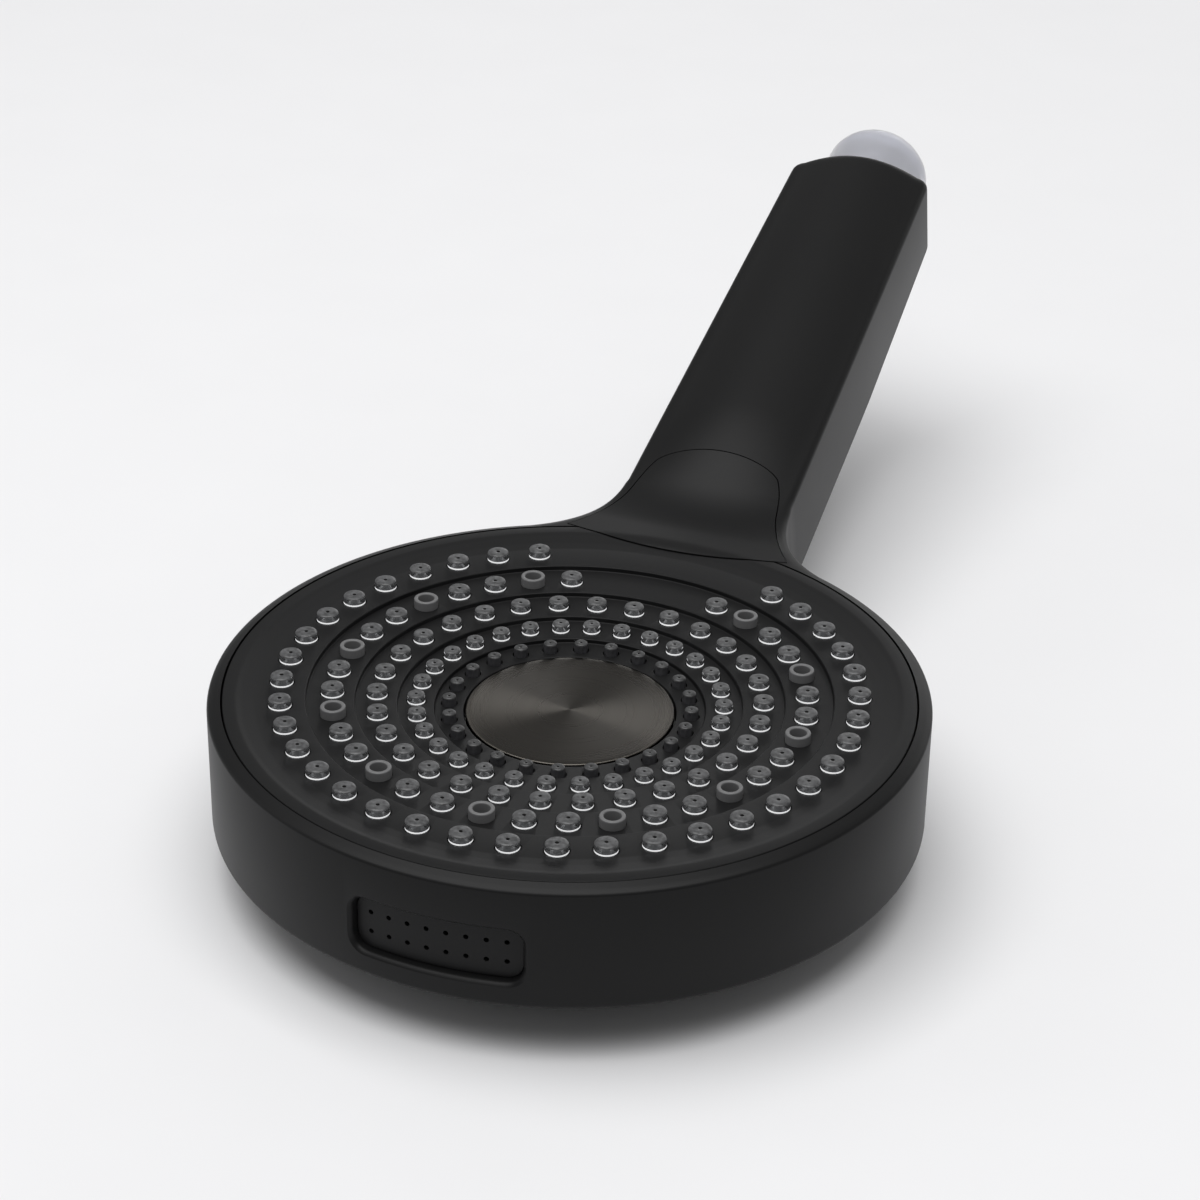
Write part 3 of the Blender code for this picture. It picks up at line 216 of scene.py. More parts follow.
class HeadSizes(bpy.types.PropertyGroup):
    """Sizes of the head's round moulding."""

    height: length("Height", 33 * MM, "From the flat back to the rim")
    back_radius: length("Back radius", 44 * MM, "Radius of the flat back")
    wall: length("Wall", 2.5 * MM, "Thickness of the moulding")
    back_corner: length("Back corner", 12 * MM, "Height of the wall's lower corner")
    corner_round: length("Corner round", 1.5 * MM, "Radius of the wall's lower corner")


class HandleSizes(bpy.types.PropertyGroup):
    """Sizes of the handle and its neck."""

    tilt: bpy.props.FloatProperty(
        name="Tilt", default=math.radians(15.7), description="Rise of the handle", subtype="ANGLE"
    )
    end: length("End", 184.2 * MM, "From the head's axis to the end face along the front edge")
    bend_start: length("Bend start", 62.5 * MM, "Where the handle starts to rise")
    bend_radius: length("Bend radius", 52 * MM, "Radius of the rise")
    half_width: length("Half width", 15.1 * MM, "Half the width at the end face")
    width_taper: share("Width taper", 0.0143, "Half width gained per length towards the neck")
    side_depth: length("Side depth", 18.1 * MM, "Height of the sides at the end face")
    depth_taper: share("Depth taper", 0.065, "Side height gained per length towards the neck")
    neck_depth: length("Neck depth", 21.5 * MM, "Greatest height of the sides")
    crown: length("Crown", 3.7 * MM, "Bulge of the front and the back above their edges")
    crown_start: length("Crown start", 62 * MM, "Where the front starts to bulge")
    crown_full: length("Crown full", 100 * MM, "Where the front has its full bulge")
    neck_fillet: length("Neck fillet", 25 * MM, "Radius of the flare into the head")
    edge_round: length("Edge round", 1.5 * MM, "Radius of the long edges")
    end_wall: length("End wall", 6 * MM, "Thickness of the end wall round the inlet")
    axis_depth: length("Axis depth", 9.5 * MM, "Depth of the inlet's axis under the front edge")


class FaceSizes(bpy.types.PropertyGroup):
    """Sizes of what shows on the spray face and the rim."""

    plate: length("Plate", 2.4 * MM, "Thickness of the spray plate")
    nozzle_rise: length("Nozzle rise", 1.6 * MM, "Height of the soft outlets above the plate")
    mist_radius: length("Mist tube radius", 2.2 * MM, "Outer radius of a mist tube")
    mist_bore: length("Mist tube bore", 1.45 * MM, "Inner radius of a mist tube")
    mist_rise: length("Mist tube rise", 1.65 * MM, "Height of the mist tubes above the plate")
    trim: length("Trim", 1.6 * MM, "Thickness of the neck trim")
    jet_width: length("Side jet width", 30 * MM, "Width of the side jets' window")
    jet_height: length("Side jet height", 10 * MM, "Height of the side jets' window")
    jet_middle: length("Side jet middle", 19.6 * MM, "Height of the window's middle")
    jet_corner: length("Side jet corner", 2.8 * MM, "Corner radius of the window")
    jet_recess: length("Side jet recess", 1.8 * MM, "Depth of the jet plate in the window")
    jet_hole: length("Side jet hole", 0.45 * MM, "Radius of a side jet")


class InletSizes(bpy.types.PropertyGroup):
    """Sizes of the hose inlet and its cap."""

    thread_radius: length("Thread radius", 10.4775 * MM, "Radius over the thread's crests")
    thread_pitch: length("Thread pitch", 1.814 * MM, "Pitch of the pipe thread")
    thread_depth: length("Thread depth", 1.0 * MM, "Depth of the pipe thread")
    thread_length: length("Thread length", 10.8 * MM, "Length of the threaded end")
    bore: length("Bore", 7.4 * MM, "Radius of the fitting's bore")
    cap_radius: length("Cap radius", 11.3 * MM, "Outer radius of the protective cap")
    cap_wall: length("Cap wall", 0.68 * MM, "Thickness of the cap")
    cap_skirt: length("Cap skirt", 10.2 * MM, "Where the cap's dome starts")
    cap_dome: length("Cap dome", 8.8 * MM, "Height of the cap's dome")


class FinishColours(bpy.types.PropertyGroup):
    """Colours of the visible finishes."""

    body: colour("Body", (0.0058, 0.0058, 0.006), "Satin moulding of the handset")
    plate: colour("Plate", (0.0075, 0.0075, 0.0078), "Spray plate")
    trim: colour("Trim", (0.0062, 0.0062, 0.0064), "Neck trim")
    silicone: colour("Silicone", (0.80, 0.81, 0.83), "Clear outlets")
    mist: colour("Mist tubes", (0.13, 0.13, 0.132), "Hard mist tubes")
    disc: colour("Disc", (0.098, 0.091, 0.081), "Spun metal of the button")
    cap: colour("Cap", (0.78, 0.79, 0.85), "Milky protective cap")


class StageLights(bpy.types.PropertyGroup):
    """Strengths of the studio light."""

    room: bpy.props.FloatProperty(
        name="Room", default=0.27, description="Strength of the room's light"
    )
    key: power("Key", 29.0, "Power of the key light")
    side: power("Side", 1.2, "Power of the left light")
    back: power("Back", 2.6, "Power of the low back light")
    floor: colour("Floor", (0.80, 0.80, 0.81), "Pale floor")


class ShowerHead(bpy.types.PropertyGroup):
    """Everything that can be changed on the shower head."""

    head: bpy.props.PointerProperty(type=HeadSizes, name="Head", description="Round moulding")
    handle: bpy.props.PointerProperty(
        type=HandleSizes, name="Handle", description="Handle and neck"
    )
    face: bpy.props.PointerProperty(type=FaceSizes, name="Face", description="Spray face and rim")
    inlet: bpy.props.PointerProperty(type=InletSizes, name="Inlet", description="Inlet and cap")
    finish: bpy.props.PointerProperty(type=FinishColours, name="Finish", description="Colours")
    light: bpy.props.PointerProperty(type=StageLights, name="Light", description="Studio light")


def chosen():
    """The sizes and colours as the user has set them."""
    return bpy.context.scene.shower_head


# Shader maths


class Flow:
    """A shader socket that takes part in arithmetic and adds its Math nodes."""

    def __init__(self, finish, socket):
        self.finish = finish
        self.socket = socket

    def _math(self, operation, *values):
        return self.finish.node("ShaderNodeMath", {"operation": operation}, dict(enumerate(values)))

    def __add__(self, other):
        return self._math("ADD", self, other)

    def __radd__(self, other):
        return self._math("ADD", other, self)

    def __mul__(self, other):
        return self._math("MULTIPLY", self, other)

    def __rmul__(self, other):
        return self._math("MULTIPLY", other, self)


class Finish:
    """A material being made: its Principled shader and the nodes that feed it."""

    def __init__(self, name, **constants):
        self.material = bpy.data.materials.new(name)
        self.material.use_nodes = True
        self.tree = self.material.node_tree
        self.shader = self.tree.nodes["Principled BSDF"]
        for socket_name, value in constants.items():
            self.shader.inputs[socket_name.replace("_", " ")].default_value = value

    def node(self, kind, settings=(), values=(), output=0):
        """Adds a node: its settings first, then the values or links of its sockets."""
        made = self.tree.nodes.new(kind)
        for key, value in dict(settings).items():
            setattr(made, key, value)
        for key, value in dict(values).items():
            self.feed(made.inputs[key], value)
        return Flow(self, made.outputs[output])

    def feed(self, socket, value):
        """Links a flow to a socket, or sets the socket's own value."""
        if isinstance(value, Flow):
            self.tree.links.new(value.socket, socket)
        else:
            socket.default_value = value

    def place(self):
        """The point on the object, in metres."""
        return self.node("ShaderNodeTexCoord", output="Object")

    def noise(self, scale, detail=2.0, roughness=0.5, where=None):
        """Soft clouds; a larger scale makes them finer."""
        values = {"Scale": scale, "Detail": detail, "Roughness": roughness}
        values["Vector"] = where or self.place()
        return self.node("ShaderNodeTexNoise", {"noise_dimensions": "3D"}, values)

    def grains(self, scale):
        """Small cells, as the distance to the nearest one's middle."""
        return self.node("ShaderNodeTexVoronoi", {}, {"Vector": self.place(), "Scale": scale})

    def span(self, value, low, high):
        """0 below low and 1 above high, even between them."""
        values = {"Value": value, "From Min": low, "From Max": high}
        return self.node("ShaderNodeMapRange", {"clamp": True}, values)

    def mix(self, amount, first, second):
        """A colour between two."""
        ends = [c if isinstance(c, Flow) else (*c, 1.0) for c in (first, second)]
        settings = {"data_type": "RGBA"}
        return self.node("ShaderNodeMix", settings, {0: amount, 6: ends[0], 7: ends[1]}, 2)

    def paint(self, **flows):
        """Links what varies over the surface to the shader."""
        for socket_name, value in flows.items():
            self.feed(self.shader.inputs[socket_name.replace("_", " ")], value)

    def bump(self, height, distance, strength):
        """Fine relief that the light picks up; the distance is its depth in metres."""
        values = {"Height": height, "Distance": distance, "Strength": strength}
        self.paint(Normal=self.node("ShaderNodeBump", {}, values))


def tint(rgb, factor):
    """A colour made lighter or darker."""
    return tuple(min(c * factor, 1.0) for c in rgb)


def moulded(name, rgb, roughness, grain=4200.0, depth=0.012 * MM, **constants):
    """A moulded plastic: a fine even texture, faint flow marks and a slightly uneven gloss."""
    shift = 0.05
    finish = Finish(name, **constants)
    broad = finish.noise(38.0, 3.0)
    fine = finish.noise(grain, 2.0, 0.6)
    specks = finish.grains(grain * 0.5)
    finish.paint(Base_Color=finish.mix(broad * 0.6 + fine * 0.4, tint(rgb, 0.86), tint(rgb, 1.16)))
    finish.paint(Roughness=roughness - shift / 2 + broad * shift + fine * shift * 0.6)
    finish.bump(fine * 0.7 + specks * 0.3, depth, 0.55)
    return finish.material


def clear_silicone(rgb):
    """The outlets' side walls: clear, slightly cloudy, with a moulded skin."""
    finish = Finish("clear_silicone", Transmission_Weight=0.9, IOR=1.41)
    cloud = finish.noise(700.0, 2.0)
    finish.paint(Base_Color=finish.mix(cloud, tint(rgb, 0.92), rgb))
    finish.paint(Roughness=0.05 + cloud * 0.08)
    finish.bump(finish.noise(1500.0, 1.0), 0.02 * MM, 0.3)
    return finish.material


def frosted_top(name, rgb, dark, light):
    """The outlets' tops, roughened by the mould."""
    finish = Finish(name, Transmission_Weight=0.3, IOR=1.41, Coat_Weight=0.25)
    cloud = finish.noise(1400.0, 3.0)
    spread = finish.span(cloud, 0.3, 0.7)
    finish.paint(Base_Color=finish.mix(spread, tint(rgb, dark), tint(rgb, light)))
    finish.paint(Roughness=0.30 + cloud * 0.2)
    finish.bump(finish.noise(2600.0, 2.0), 0.04 * MM, 0.5)
    return finish.material


def outlet_core(rgb):
    """The cone of the water passage, seen through the clear wall."""
    finish = Finish("silicone_core", Transmission_Weight=0.25, IOR=1.41)
    cloud = finish.noise(1300.0, 2.0)
    finish.paint(Base_Color=finish.mix(cloud, tint(rgb, 0.14), tint(rgb, 0.5)))
    finish.paint(Roughness=0.25 + cloud * 0.15)
    return finish.material


def painted_glow_foot(rgb):
    """The pale foot of each outlet: a white band that glows by emission, a painted highlight
    standing for the light that the clear wall gathers.
    """
    finish = Finish("silicone_foot", Emission_Strength=0.6, IOR=1.41)
    cloud = finish.noise(800.0, 1.0)
    glow_colour = finish.mix(cloud, tint(rgb, 1.0), (1.0, 1.0, 1.0))
    finish.paint(Base_Color=glow_colour, Emission_Color=glow_colour, Roughness=0.18 + cloud * 0.1)
    return finish.material


def smoky_silicone():
    """The inner ring's outlets: dark and slightly see-through."""
    finish = Finish("smoky_silicone", Transmission_Weight=0.45, IOR=1.41, Coat_Weight=0.3)
    cloud = finish.noise(900.0, 3.0)
    finish.paint(Base_Color=finish.mix(cloud, (0.05, 0.05, 0.055), (0.16, 0.16, 0.17)))
    finish.paint(Roughness=0.22 + cloud * 0.2)
    finish.bump(cloud, 0.03 * MM, 0.4)
    return finish.material


def spun_disc(rgb):
    """Spun metal: fine rings round the centre, which turn the light into wedges."""
    finish = Finish("brushed_disc", Metallic=1.0, Anisotropic=0.94)
    radius = finish.node("ShaderNodeVectorMath", {"operation": "LENGTH"}, {0: finish.place()}, 1)
    along = finish.node("ShaderNodeCombineXYZ", {}, {0: radius, 1: 0.37, 2: 0.11})
    rings = finish.noise(5200.0, 3.0, 0.7, along)
    wide = finish.noise(420.0, 2.0, 0.5, along)
    finish.paint(Base_Color=finish.mix(rings * 0.6 + wide * 0.4, tint(rgb, 0.72), tint(rgb, 1.22)))
    finish.paint(Roughness=0.23 + rings * 0.07 + wide * 0.03)
    finish.bump(rings, 0.002 * MM, 0.25)
    return finish.material


def milky_plastic(rgb):
    """The cap: thin translucent plastic with faint flow lines."""
    finish = Finish(
        "milky_cap",
        Transmission_Weight=0.7,
        IOR=1.3,
        Sheen_Weight=0.7,
        Sheen_Roughness=0.35,
        Sheen_Tint=(1.0, 0.98, 0.95, 1.0),
    )
    cloud = finish.noise(90.0, 1.0)
    fine = finish.noise(2200.0, 1.0)
    finish.paint(Base_Color=finish.mix(cloud, tint(rgb, 0.98), tint(rgb, 1.02)))
    finish.paint(Roughness=0.32 + cloud * 0.04 + fine * 0.02)
    finish.bump(fine, 0.004 * MM, 0.3)
    return finish.material


def plated_metal(name, rgb, roughness):
    """Plated metal with a fine grain and faint stains."""
    finish = Finish(name, Metallic=1.0)
    stain = finish.noise(150.0, 4.0)
    marks = finish.noise(2600.0, 2.0, 0.6)
    finish.paint(Base_Color=finish.mix(stain, tint(rgb, 0.82), tint(rgb, 1.05)))
    finish.paint(Roughness=roughness + stain * 0.1 + marks * 0.06)
    finish.bump(marks, 0.01 * MM, 0.4)
    return finish.material


def rubber():
    """Moulded seal rubber: dull, dark and slightly dusty."""
    finish = Finish("black_rubber")
    dust = finish.noise(260.0, 5.0, 0.65)
    finish.paint(Base_Color=finish.mix(dust, (0.012, 0.012, 0.012), (0.045, 0.044, 0.042)))
    finish.paint(Roughness=0.62 + dust * 0.2)
    finish.bump(finish.noise(3000.0, 2.0), 0.03 * MM, 0.6)
    return finish.material


SHELF = {}
TONES = ("body", "plate", "trim", "silicone", "mist", "disc", "cap")


def shelf():
    """Every finish, made once, under the name of the CAD's material or the piece's own."""
    if not SHELF:
        tones = chosen().finish
        rgb = {tone: tuple(getattr(tones, tone)) for tone in TONES}
        dull = {"Specular_IOR_Level": 0.18}
        SHELF.update(
            satin_graphite=moulded("satin_graphite", rgb["body"], 0.40, **dull),
            black_plate=moulded("black_plate", rgb["plate"], 0.42, 5200.0, 0.010 * MM, **dull),
            trim_graphite=moulded("trim_graphite", rgb["trim"], 0.36, 6000.0, 0.006 * MM, **dull),
            clear_silicone=clear_silicone(rgb["silicone"]),
            frosted_silicone=frosted_top("frosted_silicone", rgb["silicone"], 0.06, 0.17),
            smoky_top=frosted_top("smoky_top", rgb["silicone"], 0.03, 0.10),
            silicone_core=outlet_core(rgb["silicone"]),
            # The outlets' foot band glows white by emission: a painted highlight
            silicone_foot=painted_glow_foot(rgb["silicone"]),
            smoky_silicone=smoky_silicone(),
            mist_grey=moulded("mist_grey", rgb["mist"], 0.42, 3800.0),
            grey_plastic=moulded("grey_plastic", (0.27, 0.27, 0.28), 0.42, 3600.0),
            white_plastic=moulded("white_plastic", (0.72, 0.72, 0.70), 0.42, 3400.0),
            brushed_disc=spun_disc(rgb["disc"]),
            brass=plated_metal("nickel_plate", (0.66, 0.65, 0.62), 0.22),
            steel=plated_metal("steel", (0.56, 0.56, 0.57), 0.25),
            black_rubber=rubber(),
            milky_cap=milky_plastic(rgb["cap"]),
        )
    return SHELF


# Mesh making


def new_piece(name, body, nodes, materials, mesh):
    """Shows a mesh as a piece that rides on a body and stands for CAD nodes."""
    piece = bpy.data.objects.new(name, mesh)
    bpy.context.scene.collection.objects.link(piece)
    for material in materials:
        mesh.materials.append(shelf()[material])
    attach(piece, body)
    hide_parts(*nodes)
    return piece


def to_mesh(shape, name):
    """The finished bmesh as a mesh with outward faces."""
    bmesh.ops.recalc_face_normals(shape, faces=shape.faces)
    if shape.calc_volume(signed=True) < 0:
        bmesh.ops.reverse_faces(shape, faces=shape.faces)
    mesh = bpy.data.meshes.new(name)
    shape.to_mesh(mesh)
    shape.free()
    return mesh


def soften(mesh, angle=math.radians(32)):
    """Smooth shading that keeps the real edges sharp."""
    for face in mesh.polygons:
        face.use_smooth = True
    mesh.set_sharp_from_angle(angle=angle)
    return mesh


def skin(shape, rows, closed=False, indices=None):
    """Faces between neighbouring rows of points, which go all the way round; a row of one point
    is a pole. A closed skin also joins its last row to its first. The indices are the material
    index of each level."""
    made = [[shape.verts.new(point) for point in row] for row in rows]
    if closed:
        made.append(made[0])
    for level, (one, two) in enumerate(zip(made, made[1:])):
        count = max(len(one), len(two))
        for i in range(count):
            j = (i + 1) % count
            ring = [one[i % len(one)], one[j % len(one)], two[j % len(two)], two[i % len(two)]]
            corners = list(dict.fromkeys(ring))
            if len(corners) > 2:
                shape.faces.new(corners).material_index = indices[level] if indices else 0
    return made


def turned_rows(profile, steps, place=Matrix()):
    """Rows round Z from (radius, height) points; a radius of 0 is a pole."""
    angles = [2 * math.pi * i / steps for i in range(steps)]
    rows = []
    for radius, height in profile:
        if radius < TINY:
            rows.append([place @ Vector((0, 0, height))])
        else:
            rows.append([place @ Vector((*polar(radius, a), height)) for a in angles])
    return rows


def turned(shape, profile, steps, place=Matrix(), indices=None):
    """A turned body. A profile that doesn't start and end on the axis closes on itself."""
    skin(shape, turned_rows(profile, steps, place), profile[0][0] > TINY, indices)


def rounded(points, radius, steps):
    """An open profile with each inner corner rounded."""
    out = [points[0]]
    for before, corner, after in zip(points, points[1:], points[2:]):
        a, c, b = Vector(before), Vector(corner), Vector(after)
        reach = min(radius, (a - c).length * 0.45, (b - c).length * 0.45)
        start, finish = c + (a - c).normalized() * reach, c + (b - c).normalized() * reach
        for i in range(steps + 1):
            t = i / steps
            p = start.lerp(c, t).lerp(c.lerp(finish, t), t)
            out.append((p.x, p.y))
    out.append(points[-1])
    return out


def capped_loft(shape, rows):
    """A closed body through rows of points, with a flat face at each end."""
    made = skin(shape, rows)
    shape.faces.new(made[0])
    shape.faces.new(made[-1])


def rod(shape, radius, depth, steps, where):
    """A round bar about where's Z, with its middle at where's origin."""
    bmesh.ops.create_cone(
        shape,
        cap_ends=True,
        segments=steps,
        radius1=radius,
        radius2=radius,
        depth=depth,
        matrix=where,
    )


def rods(places, low, high, radius, steps):
    """Upright round cutters in one mesh."""
    shape = bmesh.new()
    for x, y in places:
        rod(shape, radius, high - low, steps, Matrix.Translation((x, y, (low + high) / 2)))
    return to_mesh(shape, "cutter")


def carved(mesh, *cutters, operation="DIFFERENCE"):
    """The mesh after exact booleans with each cutter mesh in turn."""
    thing = bpy.data.objects.new("carving", mesh)
    bpy.context.scene.collection.objects.link(thing)
    others = []
    for cutter in cutters:
        other = bpy.data.objects.new("cutter", cutter)
        bpy.context.scene.collection.objects.link(other)
        boolean = thing.modifiers.new("cut", "BOOLEAN")
        boolean.operation = operation
        boolean.solver = "EXACT"
        boolean.object = other
        others.append(other)
    bpy.context.view_layer.update()
    evaluated = thing.evaluated_get(bpy.context.evaluated_depsgraph_get())
    result = bpy.data.meshes.new_from_object(evaluated)
    for leftover in (thing, *others):
        bpy.data.objects.remove(leftover)
    return result


def polar(radius, angle):
    """The point (x, y) at a radius and an angle from +X."""
    return radius * math.cos(angle), radius * math.sin(angle)


# The handle's shape


def along_handle(x, s, n):
    """The point at (x, s, n) after the handle is bent up."""
    handle, head = chosen().handle, chosen().head
    turn = min(max((s - handle.bend_start) / handle.bend_radius, 0.0), handle.tilt)
    past = max(s - handle.bend_start - handle.bend_radius * handle.tilt, 0.0)
    arm = handle.bend_radius - n
    y = min(s, handle.bend_start) + arm * math.sin(turn) + past * math.cos(turn)
    z = head.height + handle.bend_radius - arm * math.cos(turn) + past * math.sin(turn)
    return Vector((x, y, z))


def neck_circle():
    """Centre (x, y) of the fillet between head and handle, and the y where it meets the head."""
    handle = chosen().handle
    neck = handle.half_width + handle.width_taper * (handle.end - handle.bend_start)
    across = neck + handle.neck_fillet
    middle = math.sqrt((HEAD_RADIUS + handle.neck_fillet) ** 2 - across**2)
    return across, middle, middle * HEAD_RADIUS / (HEAD_RADIUS + handle.neck_fillet)


def half_width(s):
    """The handle's half width, flaring into the head through the neck fillet."""
    handle = chosen().handle
    straight = handle.half_width + handle.width_taper * (handle.end - max(s, handle.bend_start))
    across, middle, tangent = neck_circle()
    if s >= middle:
        return straight
    reach = middle - max(s, tangent)
    return max(straight, across - math.sqrt(handle.neck_fillet**2 - reach**2))


def eased(t):
    """A share kept between 0 and 1, slow at both ends."""
    t = min(max(t, 0.0), 1.0)
    return t * t * (3 - 2 * t)


def crown(s):
    """How far the front bulges above its edges."""
    handle = chosen().handle
    return handle.crown * eased((s - handle.crown_start) / (handle.crown_full - handle.crown_start))


def front_edge(s):
    """The front edge at s as (in from the side, below the front), from the side up: the head's lip
    at the neck, easing into a round edge along the handle, widened where the side runs askew."""
    _, _, tangent = neck_circle()
    step = 0.1 * MM
    near = max(s, tangent + step)
    askew = math.hypot(1, (half_width(near + step) - half_width(near)) / step)
    lip_ends, easing = 2 * MM, 24 * MM
    t = eased((s - tangent - lip_ends) / easing)
    edge = chosen().handle.edge_round
    points = []
    for i, (lip_in, lip_down) in enumerate(LIP):
        a = math.pi / 2 * i / (len(LIP) - 1)
        inward = lip_in + (edge * (1 - math.cos(a)) - lip_in) * t
        down = lip_down + (edge * (1 - math.sin(a)) - lip_down) * t
        points.append((inward * askew, down))
    return points


def handle_section(s, inset=0.0, steps=16):
    """The closed outline of the handle at s, as bent points, with its long edges rounded."""
    handle = chosen().handle
    depth = min(handle.side_depth + handle.depth_taper * (handle.end - s), handle.neck_depth)
    wide, low = half_width(s) - inset, inset - depth
    edge = handle.edge_round
    top_edge = front_edge(s)
    flat = wide - top_edge[-1][0]
    low_flat = wide - edge
    across = [1 - 2 * i / steps for i in range(steps + 1)]
    front = [(flat * u, crown(s) * (1 - u * u) - inset) for u in across]
    back = [(-low_flat * u, low - handle.crown * (1 - u * u)) for u in across]
    corner = [math.pi / 2 * i / 5 for i in range(5)]
    right_top = [(wide - inward, -inset - down) for inward, down in top_edge[:-1]]
    left_top = [(-x, n) for x, n in reversed(right_top)]
    left_low = [(-low_flat - edge * math.cos(a), low + edge - edge * math.sin(a)) for a in corner]
    right_low = [(-x, n) for x, n in reversed(left_low)]
    outline = right_top + front + left_top + left_low + back + right_low
    return [along_handle(x, s, n) for x, n in outline]


def inlet_axis():
    """The frame at the middle of the handle's end face; its Z points out along the handle."""
    handle = chosen().handle
    middle = along_handle(0, handle.end, -handle.axis_depth)
    return Matrix.Translation(middle) @ Matrix.Rotation(handle.tilt - math.pi / 2, 4, "X")


def bezier(points, steps):
    """Points on a closed curve through (x, y, handle in, handle out)."""
    out = []
    for one, two in zip(points, points[1:] + points[:1]):
        p0, p3 = Vector(one[:2]), Vector(two[:2])
        p1, p2 = p0 + Vector(one[3]), p3 + Vector(two[2])
        for i in range(steps):
            t = i / steps
            a, b, c = p0.lerp(p1, t), p1.lerp(p2, t), p2.lerp(p3, t)
            out.append(a.lerp(b, t).lerp(b.lerp(c, t), t))
    return out


def trim_outline(grow):
    """The neck trim's outline, grown by an amount all round."""
    corner_x, corner_y = TRIM_CORNER[0] + grow, TRIM_CORNER[1] - grow
    bottom, top = TRIM_BOTTOM - grow, TRIM_TOP + grow
    right = [
        (corner_x, corner_y, (-7.0 * MM, -1.5 * MM), (-2.7 * MM, 3.7 * MM)),
        (TRIM_WAIST[0] + grow, TRIM_WAIST[1], (0.7 * MM, -4.5 * MM), (-0.5 * MM, 3.0 * MM)),
        (
            TRIM_SHOULDER[0] + grow * 0.7,
            TRIM_SHOULDER[1] + grow * 0.7,
            (1.4 * MM, -2.4 * MM),
            (-1.6 * MM, 1.8 * MM),
        ),
    ]
    left = [(-x, y, (-b[0], b[1]), (-a[0], a[1])) for x, y, a, b in reversed(right)]
    first = (0, bottom, (-7 * MM, 0), (7 * MM, 0))
    last = (0, top, (6.0 * MM, 0), (-6.0 * MM, 0))
    return bezier([first, *right, last, *left], 10)


def dish(x, s):
    """How far the trim eases down to the spray plate's border."""
    depth, width = 0.35 * MM, 3.5 * MM
    outer = TERRACES[0][0] + 1.6 * MM
    return depth * eased((outer - math.hypot(x, s)) / width)


def front_slab(above, below):
    """A slab that follows the neck's front surface, from above it to below it."""
    first, last = TRIM_SLAB_START, TRIM_TOP + 3 * MM
    wider, half, steps = 1.04, 14, 60
    across = [wider * (1 - i / half) for i in range(2 * half + 1)]
    rows = []
    for i in range(steps + 1):
        s = first + (last - first) * i / steps
        flat = half_width(s) - front_edge(s)[-1][0]
        face = [(flat * u, crown(s) * (1 - u * u) - dish(flat * u, s)) for u in across]
        outline = [(x, n + above) for x, n in face] + [(x, n - below) for x, n in reversed(face)]
        rows.append([along_handle(x, s, n) for x, n in outline])
    shape = bmesh.new()
    capped_loft(shape, rows)
    return to_mesh(shape, "slab")


def trim_body(above, below, grow):
    """What a slab of the neck's front keeps inside the trim's outline."""
    prism = bmesh.new()
    capped_loft(prism, [[(p.x, p.y, z) for p in trim_outline(grow)] for z in NECK_CUT])
    return carved(front_slab(above, below), to_mesh(prism, "cutter"), operation="INTERSECT")


# Outlets and side jets


def outlet_places(index):
    """Each place of a ring as (x, y, whether it is a mist tube)."""
    radius, count, _, left_out = RINGS[index]
    places = []
    for k in range(count):
        if min(k, count - k) > left_out:
            x, y = polar(radius, math.pi / 2 + 2 * math.pi * k / count)
            places.append((x, y, index == MIST_RING and k % MIST_EVERY == 0))
    return places


def outlet(shape, x, y, base, deck, tip, radius, ribbed):
    """One outlet: a clear wall with a glowing foot band that is a painted highlight, a frosted
    domed top, a pin-hole whose bore is painted black as shade, and the cone of its passage.
    """
    # Each level as (radius, height, material index of the band above it)
    levels = [
        (radius, base, 0),
        # From this level up to the next the band glows white: a painted highlight at the outlet's
        # foot
        (radius, deck + 0.03 * MM, 3),
        (radius, deck + 0.32 * MM, 0),
        (radius * 0.99, tip - 0.50 * MM, 0),
        (radius * 0.975, tip - 0.30 * MM, 1),
        (radius * 0.925, tip - 0.14 * MM, 1),
        (radius * 0.84, tip - 0.05 * MM, 1),
        (radius * 0.66, tip, 1),
        (radius * 0.30, tip, 1),
        # From this level down into the pin-hole the bore takes the black rubber look: painted shade
        # inside the hole
        (radius * 0.17, tip - 0.06 * MM, 4),
        (radius * 0.15, tip - 0.75 * MM, 2),
        (radius * 0.52, deck - 0.3 * MM, 2),
        (radius * 0.52, base, 0),
    ]
    sides = 32 if ribbed else 24
    rows = []
    for level, (reach, height, _) in enumerate(levels):
        row = []
        for k in range(sides):
            a = 2 * math.pi * k / sides
            r = reach
            if ribbed and level < 4:
                r *= 0.95 - 0.05 * math.cos(8 * a)
            row.append(Vector((x + r * math.cos(a), y + r * math.sin(a), height)))
        rows.append(row)
    skin(shape, rows, True, [index for _, _, index in levels])


def window_outline(grow):
    """The side jets' rounded outline as (across, height), with points along its straight sides."""
    face = chosen().face
    wide, high = face.jet_width / 2 + grow, face.jet_height / 2 + grow
    corner = face.jet_corner + grow
    out = []
    for sx, sy, start in ((1, 1, 0), (-1, 1, 1), (-1, -1, 2), (1, -1, 3)):
        for i in range(7):
            a = math.pi / 2 * (start + i / 6)
            x, y = polar(corner, a)
            out.append((sx * (wide - corner) + x, sy * (high - corner) + y))
    dense = []
    for (x0, y0), (x1, y1) in zip(out, out[1:] + out[:1]):
        pieces = 24 if abs(x1 - x0) > 5 * MM else 6 if abs(y1 - y0) > 2 * MM else 1
        dense += [(x0 + (x1 - x0) * i / pieces, y0 + (y1 - y0) * i / pieces) for i in range(pieces)]
    return dense


